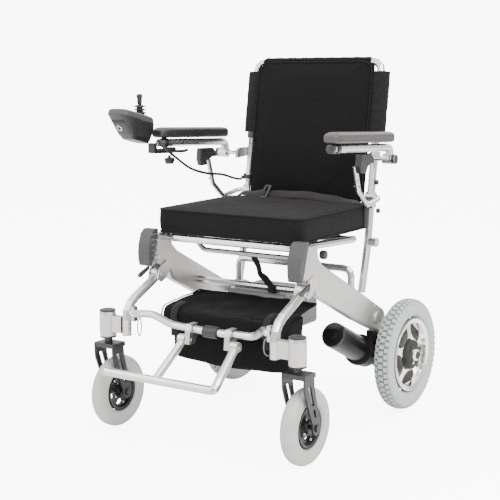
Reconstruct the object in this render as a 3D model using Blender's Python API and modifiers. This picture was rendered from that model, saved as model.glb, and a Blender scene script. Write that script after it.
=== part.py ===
"""Folding powered wheelchair: seat, folding back, flip-up armrests, joystick and two drive wheels.

Metres, +Z up, front towards -Y, the user's left towards +X. The origin is on the ground, in the
middle of the footprint. Places along the chair are given from the rear axle by at().
"""
import math

import bmesh
import bpy
from mathutils import Matrix, Vector

# --- driving dimensions -------------------------------------------------------------------
REAR_AXLE_Y = 0.255
REAR_WHEEL_R = 0.159
REAR_WHEEL_X = 0.295
REAR_TYRE_W = 0.054
REAR_RIM_R = 0.103
CASTER_R = 0.0985
CASTER_X = 0.302
CASTER_W = 0.042
CASTER_RIM_R = 0.054
STEM_Y = -0.597
CASTER_TRAIL = 0.034
BEAM_X = 0.236
BEAM_T = 0.026
LEG_X = 0.236
LEG_R = 0.0125
LEG_HINGE = (-0.462, 0.414)
POST_X = 0.208
POST_R = 0.011
BACK_HINGE = (-0.052, 0.612)
BACK_TOP = (0.010, 0.986)
SEAT_TOP = 0.598
SEAT_FRONT = -0.4695
SEAT_REAR = -0.098
SEAT_HALF = 0.232
SEAT_RAIL_X = 0.199
SEAT_RAIL_Z = 0.518
ARM_X = 0.276
ARM_PIVOT = (-0.080, 0.722)
HOOP = (-0.534, 0.294)
FOOT_PIVOT = (-0.548, 0.268)
FOOT_BAR = (-0.657, 0.179)
FOOT_TUBE_X = 0.084
FOOT_BAR_END = -0.262
CONTROLLER_TILT = 14.0
JOY = (-0.301, -0.440, 0.846)
GAP = 0.0004
BELT_STEP = 0.006
STAR_WINDOW = ((0.0505, 19.0), (0.0600, 27.0), (0.0740, 28.5), (0.0840, 26.0), (0.0885, 18.0))
CASTER_WINDOW = ((0.0240, 17.0), (0.0290, 24.0), (0.0380, 24.0), (0.0415, 15.0))

PARTS = "transport_wheelchair"
CUTTERS = "cutters"


def reset():
    """Empty the scene and make the two collections."""
    for obj in list(bpy.data.objects):
        bpy.data.objects.remove(obj, do_unlink=True)
    for name in (PARTS, CUTTERS):
        coll = bpy.data.collections.new(name)
        bpy.context.scene.collection.children.link(coll)


def at(x, y, z):
    """A point, with y measured from the rear axle."""
    return Vector((x, REAR_AXLE_Y + y, z))


def material(name, colour, roughness=0.5, metallic=0.0):
    """The named Principled material, made once."""
    mat = bpy.data.materials.get(name)
    if mat is None:
        mat = bpy.data.materials.new(name)
        mat.use_nodes = True
        shader = mat.node_tree.nodes["Principled BSDF"]
        shader.inputs["Base Color"].default_value = (*colour, 1.0)
        shader.inputs["Roughness"].default_value = roughness
        shader.inputs["Metallic"].default_value = metallic
    return mat


def silver():
    return (0.62, 0.60, 0.57), 0.35, 0.9


def black():
    return (0.02, 0.02, 0.02), 0.5, 0.0


def fabric():
    return (0.035, 0.033, 0.034), 0.9, 0.0


def finish(obj, look):
    """Give an object its own material and put it with the parts."""
    obj.data.materials.clear()
    obj.data.materials.append(material("mat_" + obj.name, *look))
    for coll in list(obj.users_collection):
        coll.objects.unlink(obj)
    bpy.data.collections[PARTS].objects.link(obj)
    return obj


def as_cutter(obj):
    """Keep a shape only as the operand of a Boolean."""
    for coll in list(obj.users_collection):
        coll.objects.unlink(obj)
    bpy.data.collections[CUTTERS].objects.link(obj)
    obj.hide_render = True
    obj.display_type = "WIRE"
    return obj


def new_object(name, data, matrix=None):
    obj = bpy.data.objects.new(name, data)
    bpy.data.collections[CUTTERS].objects.link(obj)
    if matrix is not None:
        obj.matrix_world = matrix
    return obj


def from_bmesh(name, bm, matrix=None):
    mesh = bpy.data.meshes.new(name)
    bm.to_mesh(mesh)
    bm.free()
    return new_object(name, mesh, matrix)


def turn_to(axis):
    """The rotation that takes +Z to an axis."""
    return Vector((0, 0, 1)).rotation_difference(Vector(axis).normalized()).to_matrix().to_4x4()


def smooth(obj, angle=35.0):
    obj.data.shade_smooth()
    obj.data.set_sharp_from_angle(angle=math.radians(angle))
    return obj


def bevel(obj, width, segments=2):
    mod = obj.modifiers.new("edge", "BEVEL")
    mod.width = width
    mod.segments = segments
    mod.limit_method = "ANGLE"
    mod.angle_limit = math.radians(40)
    return obj


def box(name, size, centre, edge=0.0, segments=2, tilt=0.0):
    """A box of a size round a centre, tilted about X by tilt degrees."""
    bm = bmesh.new()
    bmesh.ops.create_cube(bm, size=1.0)
    bmesh.ops.scale(bm, vec=Vector(size), verts=bm.verts)
    turn = Matrix.Rotation(math.radians(tilt), 4, "X")
    obj = from_bmesh(name, bm, Matrix.Translation(centre) @ turn)
    if edge:
        bevel(obj, edge, segments)
    return obj


def cylinder(name, radius, depth, centre, axis=(1, 0, 0), sides=24, edge=0.0, top=None):
    """A cylinder or, with a top radius, a cone frustum."""
    bm = bmesh.new()
    upper = radius if top is None else top
    bmesh.ops.create_cone(
        bm, cap_ends=True, segments=sides, radius1=radius, radius2=upper, depth=depth
    )
    obj = from_bmesh(name, bm, Matrix.Translation(centre) @ turn_to(axis))
    if edge:
        bevel(obj, edge)
    return smooth(obj)


def turned(name, profile, centre, axis=(1, 0, 0), steps=36, ring=False):
    """A profile of (radius, along) points, turned about an axis through a centre."""
    bm = bmesh.new()
    verts = [bm.verts.new((r, 0.0, a)) for r, a in profile]
    for one, two in zip(verts, verts[1:]):
        bm.edges.new((one, two))
    if ring:
        bm.edges.new((verts[-1], verts[0]))
    obj = from_bmesh(name, bm, Matrix.Translation(centre) @ turn_to(axis))
    mod = obj.modifiers.new("turn", "SCREW")
    mod.axis = "Z"
    mod.angle = 2 * math.pi
    mod.steps = steps
    mod.render_steps = steps
    mod.use_merge_vertices = True
    mod.merge_threshold = 0.00001
    mod.use_smooth_shade = True
    return obj


def rounded(points, radius, steps=3):
    """A polyline with its corners rounded to a radius."""
    points = [Vector(p) for p in points]
    out = [points[0]]
    for before, corner, after in zip(points, points[1:], points[2:]):
        one, two = (before - corner), (after - corner)
        half = one.angle(two) / 2
        reach = min(radius / math.tan(half), one.length * 0.48, two.length * 0.48)
        start, end = corner + one.normalized() * reach, corner + two.normalized() * reach
        for i in range(steps + 1):
            t = i / steps
            first, second = start.lerp(corner, t), corner.lerp(end, t)
            out.append(first.lerp(second, t))
    out.append(points[-1])
    return out


def tube(name, points, radius, bend=0.0, sides=3, closed=False):
    """A round bar or tube along points, with corners bent to a radius."""
    route = rounded(points, bend) if bend else [Vector(p) for p in points]
    curve = bpy.data.curves.new(name, "CURVE")
    curve.dimensions = "3D"
    curve.bevel_depth = radius
    curve.bevel_resolution = sides
    curve.use_fill_caps = not closed
    curve.render_resolution_u = 0
    spline = curve.splines.new("POLY")
    spline.points.add(len(route) - 1)
    for point, place in zip(spline.points, route):
        point.co = (*place, 1.0)
    spline.use_cyclic_u = closed
    spline.use_smooth = True
    return new_object(name, curve)


def outline(name, points, thickness, x):
    """A flat plate in the Y-Z plane, from (y, z) corners measured as at() does."""
    curve = bpy.data.curves.new(name, "CURVE")
    curve.dimensions = "2D"
    curve.fill_mode = "BOTH"
    curve.extrude = thickness / 2
    spline = curve.splines.new("POLY")
    spline.points.add(len(points) - 1)
    for point, (y, z) in zip(spline.points, points):
        point.co = (REAR_AXLE_Y + y, z, 0.0, 1.0)
    spline.use_cyclic_u = True
    basis = Matrix(((0, 0, 1, x), (1, 0, 0, 0), (0, 1, 0, 0), (0, 0, 0, 1)))
    return as_mesh(new_object(name, curve, basis))


def as_mesh(obj):
    """A mesh object in a curve's place, with its caps welded on."""
    bpy.context.view_layer.update()
    graph = bpy.context.evaluated_depsgraph_get()
    mesh = bpy.data.meshes.new_from_object(obj.evaluated_get(graph))
    bm = bmesh.new()
    bm.from_mesh(mesh)
    bmesh.ops.remove_doubles(bm, verts=bm.verts, dist=0.00001)
    bmesh.ops.recalc_face_normals(bm, faces=bm.faces)
    bm.to_mesh(mesh)
    bm.free()
    name, matrix = obj.name, obj.matrix_world.copy()
    bpy.data.objects.remove(obj, do_unlink=True)
    return new_object(name, mesh, matrix)


def combine(base, others, operation="UNION"):
    """Add others to a base, or cut them from it, with exact Booleans."""
    for other in others:
        mod = base.modifiers.new(operation.lower(), "BOOLEAN")
        mod.operation = operation
        mod.solver = "EXACT"
        mod.object = as_cutter(other)
    return base


def loft(name, sections):
    """A closed skin over rings of equal length, capped at both ends."""
    bm = bmesh.new()
    rings = [[bm.verts.new(p) for p in ring] for ring in sections]
    count = len(rings[0])
    for low, high in zip(rings, rings[1:]):
        for i in range(count):
            j = (i + 1) % count
            bm.faces.new((low[i], low[j], high[j], high[i]))
    bm.faces.new(reversed(rings[0]))
    bm.faces.new(rings[-1])
    bmesh.ops.recalc_face_normals(bm, faces=bm.faces)
    return from_bmesh(name, bm)


def super_ring(centre, half_x, half_y, count=24, power=3.2):
    """A rounded-rectangle ring about a centre, in the X-Y plane."""
    ring = []
    for i in range(count):
        a = 2 * math.pi * i / count
        c, s = math.cos(a), math.sin(a)
        x = math.copysign(abs(c) ** (2 / power), c) * half_x
        y = math.copysign(abs(s) ** (2 / power), s) * half_y
        ring.append(Vector(centre) + Vector((x, y, 0.0)))
    return ring


# --- wheels -------------------------------------------------------------------------------
def tyre_profile(outer, inner, half):
    """Half-round tread, full sidewalls and a flat inside, as a closed ring profile."""
    depth = outer - inner
    points = [(inner, half * 0.62)]
    for i in range(7):
        a = math.pi * (i / 6 - 0.5)
        r = inner + depth * (0.42 + 0.58 * math.cos(a) ** 0.8)
        points.append((r, -half * math.sin(a)))
    points.append((inner, -half * 0.62))
    return points


def wheel_windows(centre, axis_x, shape, count):
    """Rounded window cutters spread round a wheel; shape is (radius, half angle) points."""
    cutters = []
    for i in range(count):
        middle = 2 * math.pi * (i + 0.5) / count + math.pi / 2
        face = []
        for radius, half in shape:
            face.append((radius, middle + math.radians(half)))
        for radius, half in reversed(shape):
            face.append((radius, middle - math.radians(half)))
        points = [(centre[1] + r * math.cos(a), centre[2] + r * math.sin(a)) for r, a in face]
        cutters.append(slab("window", points, 0.2, centre[0] + axis_x))
    return cutters


def slab(name, points, thick, x):
    """A plate of the given thickness round x, from its outline of (y, z) points."""
    rings = [[Vector((x + side * thick / 2, y, z)) for y, z in points] for side in (-1, 1)]
    return loft(name, rings)


def rear_wheel(side, sign):
    """Tyre, rim with five windows and the hub with its cap."""
    centre = at(sign * REAR_WHEEL_X, 0, REAR_WHEEL_R)
    axis = (sign, 0, 0)
    half = REAR_TYRE_W / 2
    tyre = turned(
        "rear_tyre_" + side, tyre_profile(REAR_WHEEL_R, REAR_RIM_R, half), centre, axis, 36, True
    )
    finish(tyre, ((0.55, 0.56, 0.55), 0.8, 0.0))
    inner = 0.043
    outer = REAR_RIM_R - GAP
    profile = [
        (inner, 0.012), (0.050, 0.014), (0.088, 0.006), (0.092, 0.020), (outer, 0.024),
        (outer, -0.024), (0.092, -0.020), (0.090, -0.008), (0.050, -0.002), (inner, -0.002),
    ]
    rim = turned("rear_rim_" + side, profile, centre, axis, 30, True)
    combine(rim, wheel_windows(centre, 0.0, STAR_WINDOW, 5), "DIFFERENCE")
    finish(rim, silver())
    hub = turned(
        "rear_hub_" + side,
        [(0, 0.040), (0.010, 0.040), (0.013, 0.037), (0.014, 0.031), (0.030, 0.030), (0.040, 0.026),
         (0.0425, 0.020), (0.0425, -0.006), (0.034, -0.008), (0.034, -0.014), (0, -0.014)],
        centre, axis, 20,
    )
    finish(hub, black())


def caster(side, sign):
    """Tyre and five-spoke rim of a front caster."""
    centre = at(sign * CASTER_X, STEM_Y + CASTER_TRAIL, CASTER_R)
    axis = (sign, 0, 0)
    half = CASTER_W / 2
    tyre = turned(
        "caster_tyre_" + side, tyre_profile(CASTER_R, CASTER_RIM_R, half), centre, axis, 28, True
    )
    finish(tyre, ((0.50, 0.51, 0.48), 0.75, 0.0))
    outer = CASTER_RIM_R - GAP
    profile = [
        (0.0065, 0.016), (0.016, 0.016), (0.019, 0.007), (0.044, 0.005), (0.046, 0.013),
        (outer, 0.015), (outer, -0.015), (0.046, -0.013), (0.044, -0.005), (0.019, -0.007),
        (0.016, -0.016), (0.0065, -0.016),
    ]
    rim = turned("caster_rim_" + side, profile, centre, axis, 24, True)
    combine(rim, wheel_windows(centre, 0.0, CASTER_WINDOW, 5), "DIFFERENCE")
    finish(rim, ((0.55, 0.53, 0.50), 0.4, 0.7))


def caster_fork(side, sign):
    """Crown, two blades, the axle bolt and the stem of a caster fork."""
    x, y = sign * CASTER_X, STEM_Y + CASTER_TRAIL
    top = 0.236
    fork = box("caster_fork_" + side, (0.068, 0.050, 0.012), at(x, STEM_Y + 0.004, top))
    blade = [(STEM_Y - 0.022, top + 0.001), (STEM_Y + 0.022, top + 0.001),
             (STEM_Y + 0.025, top - 0.034), (y + 0.004, 0.150), (y + 0.017, CASTER_R + 0.016),
             (y + 0.018, CASTER_R - 0.004), (y + 0.010, CASTER_R - 0.016),
             (y - 0.008, CASTER_R - 0.017), (y - 0.018, CASTER_R - 0.006),
             (y - 0.020, CASTER_R + 0.016), (y - 0.036, 0.150), (STEM_Y - 0.021, top - 0.034)]
    others = []
    slots = (
        [(STEM_Y - 0.007, top - 0.024), (STEM_Y + 0.006, top - 0.024),
         (y - 0.011, 0.160), (y - 0.024, 0.160)],
        [(y - 0.018, 0.149), (y - 0.008, 0.149), (y - 0.003, 0.128), (y - 0.011, 0.128)],
    )
    for inner in (-1, 1):
        plate = outline("blade", blade, 0.005, x + inner * 0.0310)
        holes = [outline("slot", slot, 0.02, x + inner * 0.0310) for slot in slots]
        others.append(combine(plate, holes, "DIFFERENCE"))
        others.append(cylinder("nut", 0.0095, 0.0056, at(x + inner * 0.0352, y, CASTER_R), sides=6))
    others.append(cylinder("axle", 0.0062, 0.0702, at(x, y, CASTER_R), sides=12))
    others.append(cylinder("stem", 0.011, 0.018, at(x, STEM_Y, top + 0.012), (0, 0, 1), 16))
    combine(fork, others)
    finish(fork, black())


# --- front frame --------------------------------------------------------------------------
def front_leg(side, sign):
    """Bent leg tube from the frame hinge down to the caster housing."""
    hinge_y, hinge_z = LEG_HINGE
    route = [
        at(sign * LEG_X, hinge_y - 0.010, hinge_z - 0.008),
        at(sign * LEG_X, STEM_Y + 0.002, 0.350),
        at(sign * LEG_X, STEM_Y, 0.268),
    ]
    leg = as_mesh(tube("front_leg_" + side, route, LEG_R, bend=0.10))
    eye = cylinder("eye", 0.017, 0.025, at(sign * LEG_X, hinge_y, hinge_z), sides=20)
    bore = cylinder("bore", 0.0066, 0.08, at(sign * LEG_X, hinge_y, hinge_z), sides=16)
    combine(leg, [eye])
    combine(leg, [bore], "DIFFERENCE")
    finish(leg, silver())


def caster_housing(side, sign):
    """Stem bearing housing with the block that clamps it to the leg."""
    x = sign * CASTER_X
    low, high = 0.259, 0.334
    housing = turned(
        "caster_housing_" + side,
        [(0, high), (0.014, high), (0.021, high - 0.006), (0.023, high - 0.014), (0.023, low + 0.004),
         (0.021, low), (0, low)],
        at(x, STEM_Y, 0), (0, 0, 1), 20,
    )
    reach = CASTER_X - LEG_X - LEG_R - GAP
    middle = sign * (CASTER_X - reach / 2)
    block = box("block", (reach, 0.020, 0.044), at(middle, STEM_Y, 0.296))
    combine(housing, [block])
    socket = cylinder("socket", 0.0118, 0.024, at(x, STEM_Y, low), (0, 0, 1), 20)
    combine(housing, [socket], "DIFFERENCE")
    finish(housing, silver())


def front_hoop():
    """Bowed cross tube between the two legs."""
    y, z = HOOP
    end = LEG_X - LEG_R - GAP
    route = [
        at(-end, STEM_Y + 0.006, 0.330),
        at(-end + 0.016, STEM_Y + 0.006, 0.330),
        at(-0.178, STEM_Y + 0.040, 0.326),
        at(-0.135, y, z + 0.004),
        at(0, y - 0.002, z), at(0.135, y, z + 0.004), at(0.178, STEM_Y + 0.040, 0.326),
        at(end - 0.016, STEM_Y + 0.006, 0.330), at(end, STEM_Y + 0.006, 0.330),
    ]
    hoop = as_mesh(tube("front_hoop", route, 0.0105, bend=0.045))
    for sign in (-1, 1):
        plate = box("plate", (0.010, 0.016, 0.040), at(sign * (end - 0.006), STEM_Y + 0.010, 0.328))
        combine(hoop, [plate])
    finish(hoop, silver())
    sleeve = turned(
        "hoop_sleeve",
        [(0.0118, 0.022), (0.0150, 0.022), (0.0165, 0.018), (0.0165, -0.018), (0.0150, -0.022),
         (0.0118, -0.022)],
        at(0, y - 0.002, z), (1, 0, 0), 20, True,
    )
    finish(sleeve, black())


def foot_bracket(side, sign):
    """Clamp on the hoop that carries a pivot of the footrest."""
    y, z = HOOP
    x = sign * FOOT_TUBE_X
    (py, pz) = FOOT_PIVOT
    face = [
        (y - 0.016, z + 0.016), (y + 0.014, z + 0.016), (y + 0.014, z - 0.016),
        (py + 0.012, pz - 0.012), (py - 0.012, pz - 0.010), (y - 0.022, z),
    ]
    clamp = outline("foot_bracket_" + side, face, 0.016, x - sign * 0.0205)
    hole = cylinder("hole", 0.0122, 0.10, at(x, y - 0.001, z + 0.002), sides=20)
    combine(clamp, [hole], "DIFFERENCE")
    pin = cylinder("pin", 0.0048, 0.040, at(x - sign * 0.010, py, pz), sides=14)
    combine(clamp, [pin])
    finish(clamp, ((0.35, 0.34, 0.33), 0.4, 0.8))


def footrest():
    """Foot bar that turns up into one tube and takes the second at a tee."""
    y, z = FOOT_BAR
    top_y, top_z = FOOT_PIVOT
    low_x = FOOT_TUBE_X + 0.010
    near = [
        at(FOOT_TUBE_X, top_y - 0.004, top_z - 0.006), at(low_x, y + 0.020, z + 0.022),
        at(low_x, y, z), at(FOOT_BAR_END, y, z),
    ]
    frame = as_mesh(tube("footrest_frame", near, 0.0120, bend=0.024))
    far = [at(-FOOT_TUBE_X, top_y - 0.004, top_z - 0.006), at(-low_x, y + 0.002, z + 0.003)]
    combine(frame, [as_mesh(tube("far", far, 0.0110))])
    for sign in (-1, 1):
        eye = cylinder("eye", 0.0135, 0.022, at(sign * FOOT_TUBE_X, top_y, top_z), sides=16)
        combine(frame, [eye])
    bore = cylinder("bore", 0.0053, 0.30, at(0, top_y, top_z), sides=14)
    combine(frame, [bore], "DIFFERENCE")
    finish(frame, silver())


# --- chassis ------------------------------------------------------------------------------
def side_beam(side, sign):
    """Deep box beam that runs from the front cap down to the drive gearbox."""
    points = [
        (-0.463, 0.529), (-0.412, 0.527), (-0.406, 0.492), (-0.385, 0.472), (-0.333, 0.444),
        (-0.201, 0.375), (-0.045, 0.292), (-0.030, 0.262), (-0.046, 0.236), (-0.074, 0.231),
        (-0.215, 0.294), (-0.396, 0.385), (-0.412, 0.394), (-0.426, 0.425), (-0.452, 0.440),
        (-0.484, 0.446), (-0.492, 0.452),
    ]
    beam = outline("side_beam_" + side, points, BEAM_T, sign * BEAM_X)
    boss = cylinder(
        "boss", 0.017, 0.006, at(sign * (BEAM_X + BEAM_T / 2 + 0.0015), -0.085, 0.276), sides=24
    )
    bevel(beam, 0.005, 2)
    combine(beam, [boss])
    finish(beam, silver())


def front_cap(side, sign):
    """Black curved bumper over the beam's front end, with two ribs."""
    face = [
        (-0.4690, 0.543), (-0.488, 0.544), (-0.503, 0.532), (-0.512, 0.508), (-0.516, 0.484),
        (-0.515, 0.462), (-0.511, 0.445), (-0.504, 0.443), (-0.4985, 0.449),
    ]
    cap = outline("beam_front_cap_" + side, face, 0.040, sign * 0.240)
    bevel(cap, 0.004, 2)
    finish(cap, black())


def hinge_bolt(side, sign):
    """Two clamp plates on the beam and the bolt through them that is the front leg's hinge."""
    y, z = LEG_HINGE
    face = [
        (y - 0.019, z - 0.008), (y - 0.004, z - 0.020), (y + 0.016, z - 0.012), (y + 0.042, z + 0.018),
        (y + 0.024, z + 0.038), (y - 0.008, z + 0.022),
    ]
    reach = BEAM_T / 2 + GAP + 0.002
    plate = outline("leg_hinge_bolt_" + side, face, 0.004, sign * (BEAM_X + reach))
    inner = outline("inner", face, 0.004, sign * (BEAM_X - reach))
    bolt = cylinder("bolt", 0.0060, 0.038, at(sign * BEAM_X, y, z), sides=14)
    head = cylinder("head", 0.0115, 0.0075, at(sign * (BEAM_X + 0.0198), y, z), sides=6)
    combine(plate, [inner, bolt, head])
    finish(plate, ((0.30, 0.29, 0.28), 0.4, 0.8))


def cross_arch():
    """Inverted-U tube that ties the two side beams together behind the seat."""
    y, x, inner = -0.132, 0.190, BEAM_X - BEAM_T / 2 - GAP
    route = [
        at(-inner, y, 0.318), at(-x, y, 0.318), at(-x, y, 0.416), at(x, y, 0.416),
        at(x, y, 0.318), at(inner, y, 0.318),
    ]
    arch = as_mesh(tube("rear_cross_arch", route, 0.0100, bend=0.024))
    finish(arch, silver())


def frame_crossbar():
    """Straight tube over the battery that joins the two beams."""
    inner = BEAM_X - BEAM_T / 2 - GAP
    bar = as_mesh(tube("frame_crossbar", [at(-inner, -0.284, 0.3725), at(inner, -0.284, 0.3725)], 0.0100))
    finish(bar, silver())


def motor(side, sign):
    """Drive motor along the beam, with its end face, and the gearbox at the wheel."""
    front, rear = at(sign * 0.186, -0.232, 0.250), at(sign * 0.186, -0.082, 0.175)
    axis = rear - front
    length = axis.length
    motor_body = turned(
        "motor_" + side,
        [(0, 0), (0.012, 0), (0.013, 0.004), (0.033, 0.005), (0.0365, 0.010), (0.0365, length * 0.93),
         (0.030, length * 0.93), (0.030, length), (0, length)][::-1],
        front, axis, 22,
    )
    finish(motor_body, ((0.09, 0.09, 0.09), 0.4, 0.6))
    gearbox = cylinder(
        "gearbox_" + side, 0.050, 0.052, at(sign * 0.2305, 0.000, REAR_WHEEL_R), sides=24
    )
    neck_axis = axis.normalized()
    neck = cylinder(
        "neck", 0.040, 0.050, rear + neck_axis * (0.025 + GAP), axis, sides=20
    )
    arm = box("arm", (0.022, 0.054, 0.0765), at(sign * 0.2155, -0.041, 0.1920))
    flange = cylinder(
        "flange", 0.046, 0.008, rear + neck_axis * (0.006 + GAP), axis, sides=20
    )
    axle = cylinder("axle", 0.012, 0.028, at(sign * 0.2663, 0, REAR_WHEEL_R), sides=16)
    combine(gearbox, [neck, arm, flange, axle])
    finish(gearbox, ((0.45, 0.44, 0.43), 0.45, 0.7))


def battery():
    """Battery box under the seat."""
    pack = box("battery_box", (0.200, 0.170, 0.105), at(-0.018, -0.215, 0.306), 0.010, 3)
    finish(pack, ((0.34, 0.32, 0.32), 0.6, 0.0))


def under_seat_bag():
    """Soft tool bag slung behind the front hoop."""
    sections = []
    for z, half_x, half_y, y in (
        (0.176, 0.160, 0.046, -0.406), (0.184, 0.184, 0.060, -0.408), (0.240, 0.193, 0.066, -0.408),
        (0.310, 0.193, 0.067, -0.407), (0.322, 0.194, 0.086, -0.401), (0.346, 0.192, 0.086, -0.401),
        (0.355, 0.184, 0.076, -0.396),
    ):
        sections.append(super_ring(at(-0.008, y, z), half_x, half_y, 20, 4.0))
    finish(loft("under_seat_bag", sections), fabric())


def seat_frame():
    """Welded seat frame: front tube, two rails, rear cross tube and the brace hung below."""
    z, x = SEAT_RAIL_Z, SEAT_RAIL_X
    front, rear = -0.448, -0.150
    loop = [
        at(-x, rear + 0.014, z - 0.0165), at(-x, front, z), at(x, front, z),
        at(x, rear + 0.014, z - 0.0165),
    ]
    frame = as_mesh(tube("seat_frame", loop, 0.0105, bend=0.020))
    cross = as_mesh(tube("cross", [at(-x + 0.003, rear, 0.5025), at(x - 0.003, rear, 0.5025)], 0.0095))
    others = [cross]
    for sign in (-1, 1):
        inner = BEAM_X - BEAM_T / 2 - GAP
        lug = cylinder(
            "lug", 0.009, inner - x, at(sign * (inner + x) / 2, -0.436, z - 0.001), sides=16
        )
        others.append(lug)
    low, y, half = z - 0.0445, -0.352, x - 0.043
    top = z - 0.004
    drop = [at(-x + 0.002, y, top), at(-half, y, low), at(half, y, low), at(x - 0.002, y, top)]
    others.append(as_mesh(tube("drop", drop, 0.0070, bend=0.03, sides=3)))
    combine(frame, others)
    finish(frame, silver())


def fold_lock():
    """Round lock knob at the right end of the seat brace."""
    knob = cylinder("fold_lock_knob", 0.012, 0.016, at(0.2080, -0.314, 0.484), sides=20, edge=0.003)
    finish(knob, black())


def lower_post(side, sign):
    """Fixed lower half of a back post, rooted on the side beam, with its clamp knob."""
    x = sign * POST_X
    y, z = BACK_HINGE
    route = [at(x, -0.104, 0.346), at(x, -0.068, 0.486), at(x, y - 0.001, z - 0.016)]
    post = as_mesh(tube("lower_back_post_" + side, route, POST_R, bend=0.15))
    fork = box("fork", (0.024, 0.024, 0.016), at(x, y - 0.003, z - 0.0230))
    knob = cylinder("knob", 0.013, 0.022, at(sign * (POST_X + 0.018), -0.068, 0.486), sides=16)
    combine(post, [fork, knob])
    finish(post, silver())


def seat_cushion():
    """Thick square cushion, closed, with a shallow step at the rear where the belt lies."""
    low = SEAT_RAIL_Z + 0.0115 + GAP
    step = SEAT_REAR - 0.060
    side = [
        (SEAT_FRONT, low), (SEAT_REAR, low), (SEAT_REAR, SEAT_TOP - BELT_STEP),
        (step, SEAT_TOP - BELT_STEP), (step - 0.004, SEAT_TOP), (SEAT_FRONT, SEAT_TOP),
    ]
    cushion = outline("seat_cushion", side, 2 * SEAT_HALF, 0)
    bevel(cushion, 0.012, 3)
    finish(cushion, fabric())


def seat_belt():
    """Lap belt that lies slack across the back of the cushion."""
    points = []
    for i in range(25):
        t = i / 24
        x = -0.150 + 0.330 * t
        y = -0.122 - 0.012 * math.sin(math.pi * t) + 0.004 * math.sin(9 * t)
        points.append((x, y))
    sections = []
    for x, y in points:
        low = at(x, y, SEAT_TOP - BELT_STEP + 0.0008)
        sections.append([
            low + Vector((0, -0.012, 0)), low + Vector((0, 0.012, 0)),
            low + Vector((0, 0.012, 0.003)), low + Vector((0, -0.012, 0.003)),
        ])
    belt = loft("seat_belt", sections)
    finish(belt, ((0.25, 0.23, 0.22), 0.9, 0.0))


# --- backrest -----------------------------------------------------------------------------
def back_point(up, off=0.0):
    """A (y, z) point up along the back posts and off behind them."""
    (y0, z0), (y1, z1) = BACK_HINGE, BACK_TOP
    length = math.hypot(y1 - y0, z1 - z0)
    dy, dz = (y1 - y0) / length, (z1 - z0) / length
    return y0 + dy * up + dz * off, z0 + dz * up - dy * off


def back_posts():
    """Two posts and the top cross tube, bent from one length, with the armrest carriers."""
    top = 0.379
    route = [
        at(-POST_X, *back_point(0.004)), at(-POST_X, *back_point(top)),
        at(POST_X, *back_point(top)), at(POST_X, *back_point(0.004)),
    ]
    posts = as_mesh(tube("back_posts", route, POST_R, bend=0.030))
    eyes = []
    for sign in (-1, 1):
        eyes.append(cylinder("eye", 0.0135, 0.026, at(sign * POST_X, *BACK_HINGE), sides=20))
        band = cylinder(
            "band", POST_R + 0.0030, 0.022, at(sign * POST_X, *back_point(0.165)),
            (0, BACK_TOP[0] - BACK_HINGE[0], BACK_TOP[1] - BACK_HINGE[1]), sides=20,
        )
        eyes.append(band)
        eyes.extend(arm_carrier(sign))
    combine(posts, eyes)
    finish(posts, silver())


def back_cover():
    """Padded back panel slung between the posts."""
    sections = []
    front, rear = -0.020, 0.012
    for up, half in ((0.012, 0.176), (0.030, 0.188), (0.180, 0.192), (0.345, 0.188), (0.362, 0.176)):
        ring = []
        for i in range(24):
            a = 2 * math.pi * i / 24
            c, s = math.cos(a), math.sin(a)
            x = math.copysign(abs(c) ** 0.35, c) * half
            off = (front + rear) / 2 + math.copysign(abs(s) ** 0.6, s) * (rear - front) / 2
            ring.append(at(x, *back_point(up, off)))
        sections.append(ring)
    finish(loft("back_cover", sections), fabric())


def arm_carrier(sign):
    """Pivot plate with its bolt and knob, and the bent rod below, for one armrest."""
    y, z = ARM_PIVOT
    inner = POST_X + POST_R - 0.002
    face = [
        (y - 0.014, z - 0.014), (y + 0.052, z - 0.010), (y + 0.052, z + 0.014),
        (y + 0.004, z + 0.016), (y - 0.012, z + 0.010),
    ]
    plate = outline("plate", face, 0.008, sign * (inner + 0.004))
    bolt = cylinder("bolt", 0.0060, 0.072, at(sign * (inner + 0.036), y, z), sides=14)
    knob = cylinder("knob", 0.013, 0.012, at(sign * (inner + 0.0765), y, z), sides=16)
    x = 0.242
    y0, z0 = BACK_HINGE
    route = [
        at(sign * POST_X, y0 - 0.004, z0), at(sign * (x - 0.003), y0 - 0.006, z0 - 0.002),
        at(sign * x, -0.136, 0.598), at(sign * x, -0.186, 0.640), at(sign * x, -0.206, 0.7100),
    ]
    return [plate, bolt, knob, as_mesh(tube("rod", route, 0.0070, bend=0.020, sides=3))]


def armrest(side, sign):
    """Armrest tube with its end plug, the pad on it and the pistol-shaped latch below."""
    y, z = ARM_PIVOT
    x = sign * ARM_X
    tube_z = 0.7600
    front = -0.392
    bar = as_mesh(tube(
        "armrest_tube_" + side,
        [at(x, front, tube_z + 0.010), at(x, y + 0.006, tube_z - 0.006), at(x, y + 0.010, z - 0.002)],
        0.0110, bend=0.022,
    ))
    eye = cylinder("eye", 0.0140, 0.024, at(x - sign * 0.002, y, z), sides=20)
    web = box("web", (0.010, 0.022, 0.034), at(x, y + 0.002, z + 0.014))
    hole = cylinder("hole", 0.0066, 0.10, at(x, y, z), sides=16)
    combine(bar, [eye, web])
    combine(bar, [hole], "DIFFERENCE")
    finish(bar, silver())
    pad = box(
        "armrest_pad_" + side, (0.050, 0.318, 0.030),
        at(x, (front + y) / 2 - 0.006, tube_z + 0.0307), 0.011, 3, tilt=-2.9,
    )
    finish(pad, black())
    grip = [
        (-0.224, 0.7440), (-0.164, 0.7420), (-0.148, 0.7260), (-0.150, 0.7150), (-0.168, 0.7160),
        (-0.186, 0.7080), (-0.194, 0.6940), (-0.222, 0.6930), (-0.228, 0.7130),
    ]
    latch = outline("armrest_latch_" + side, grip, 0.018, sign * 0.262)
    bevel(latch, 0.003, 2)
    finish(latch, black())


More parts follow.
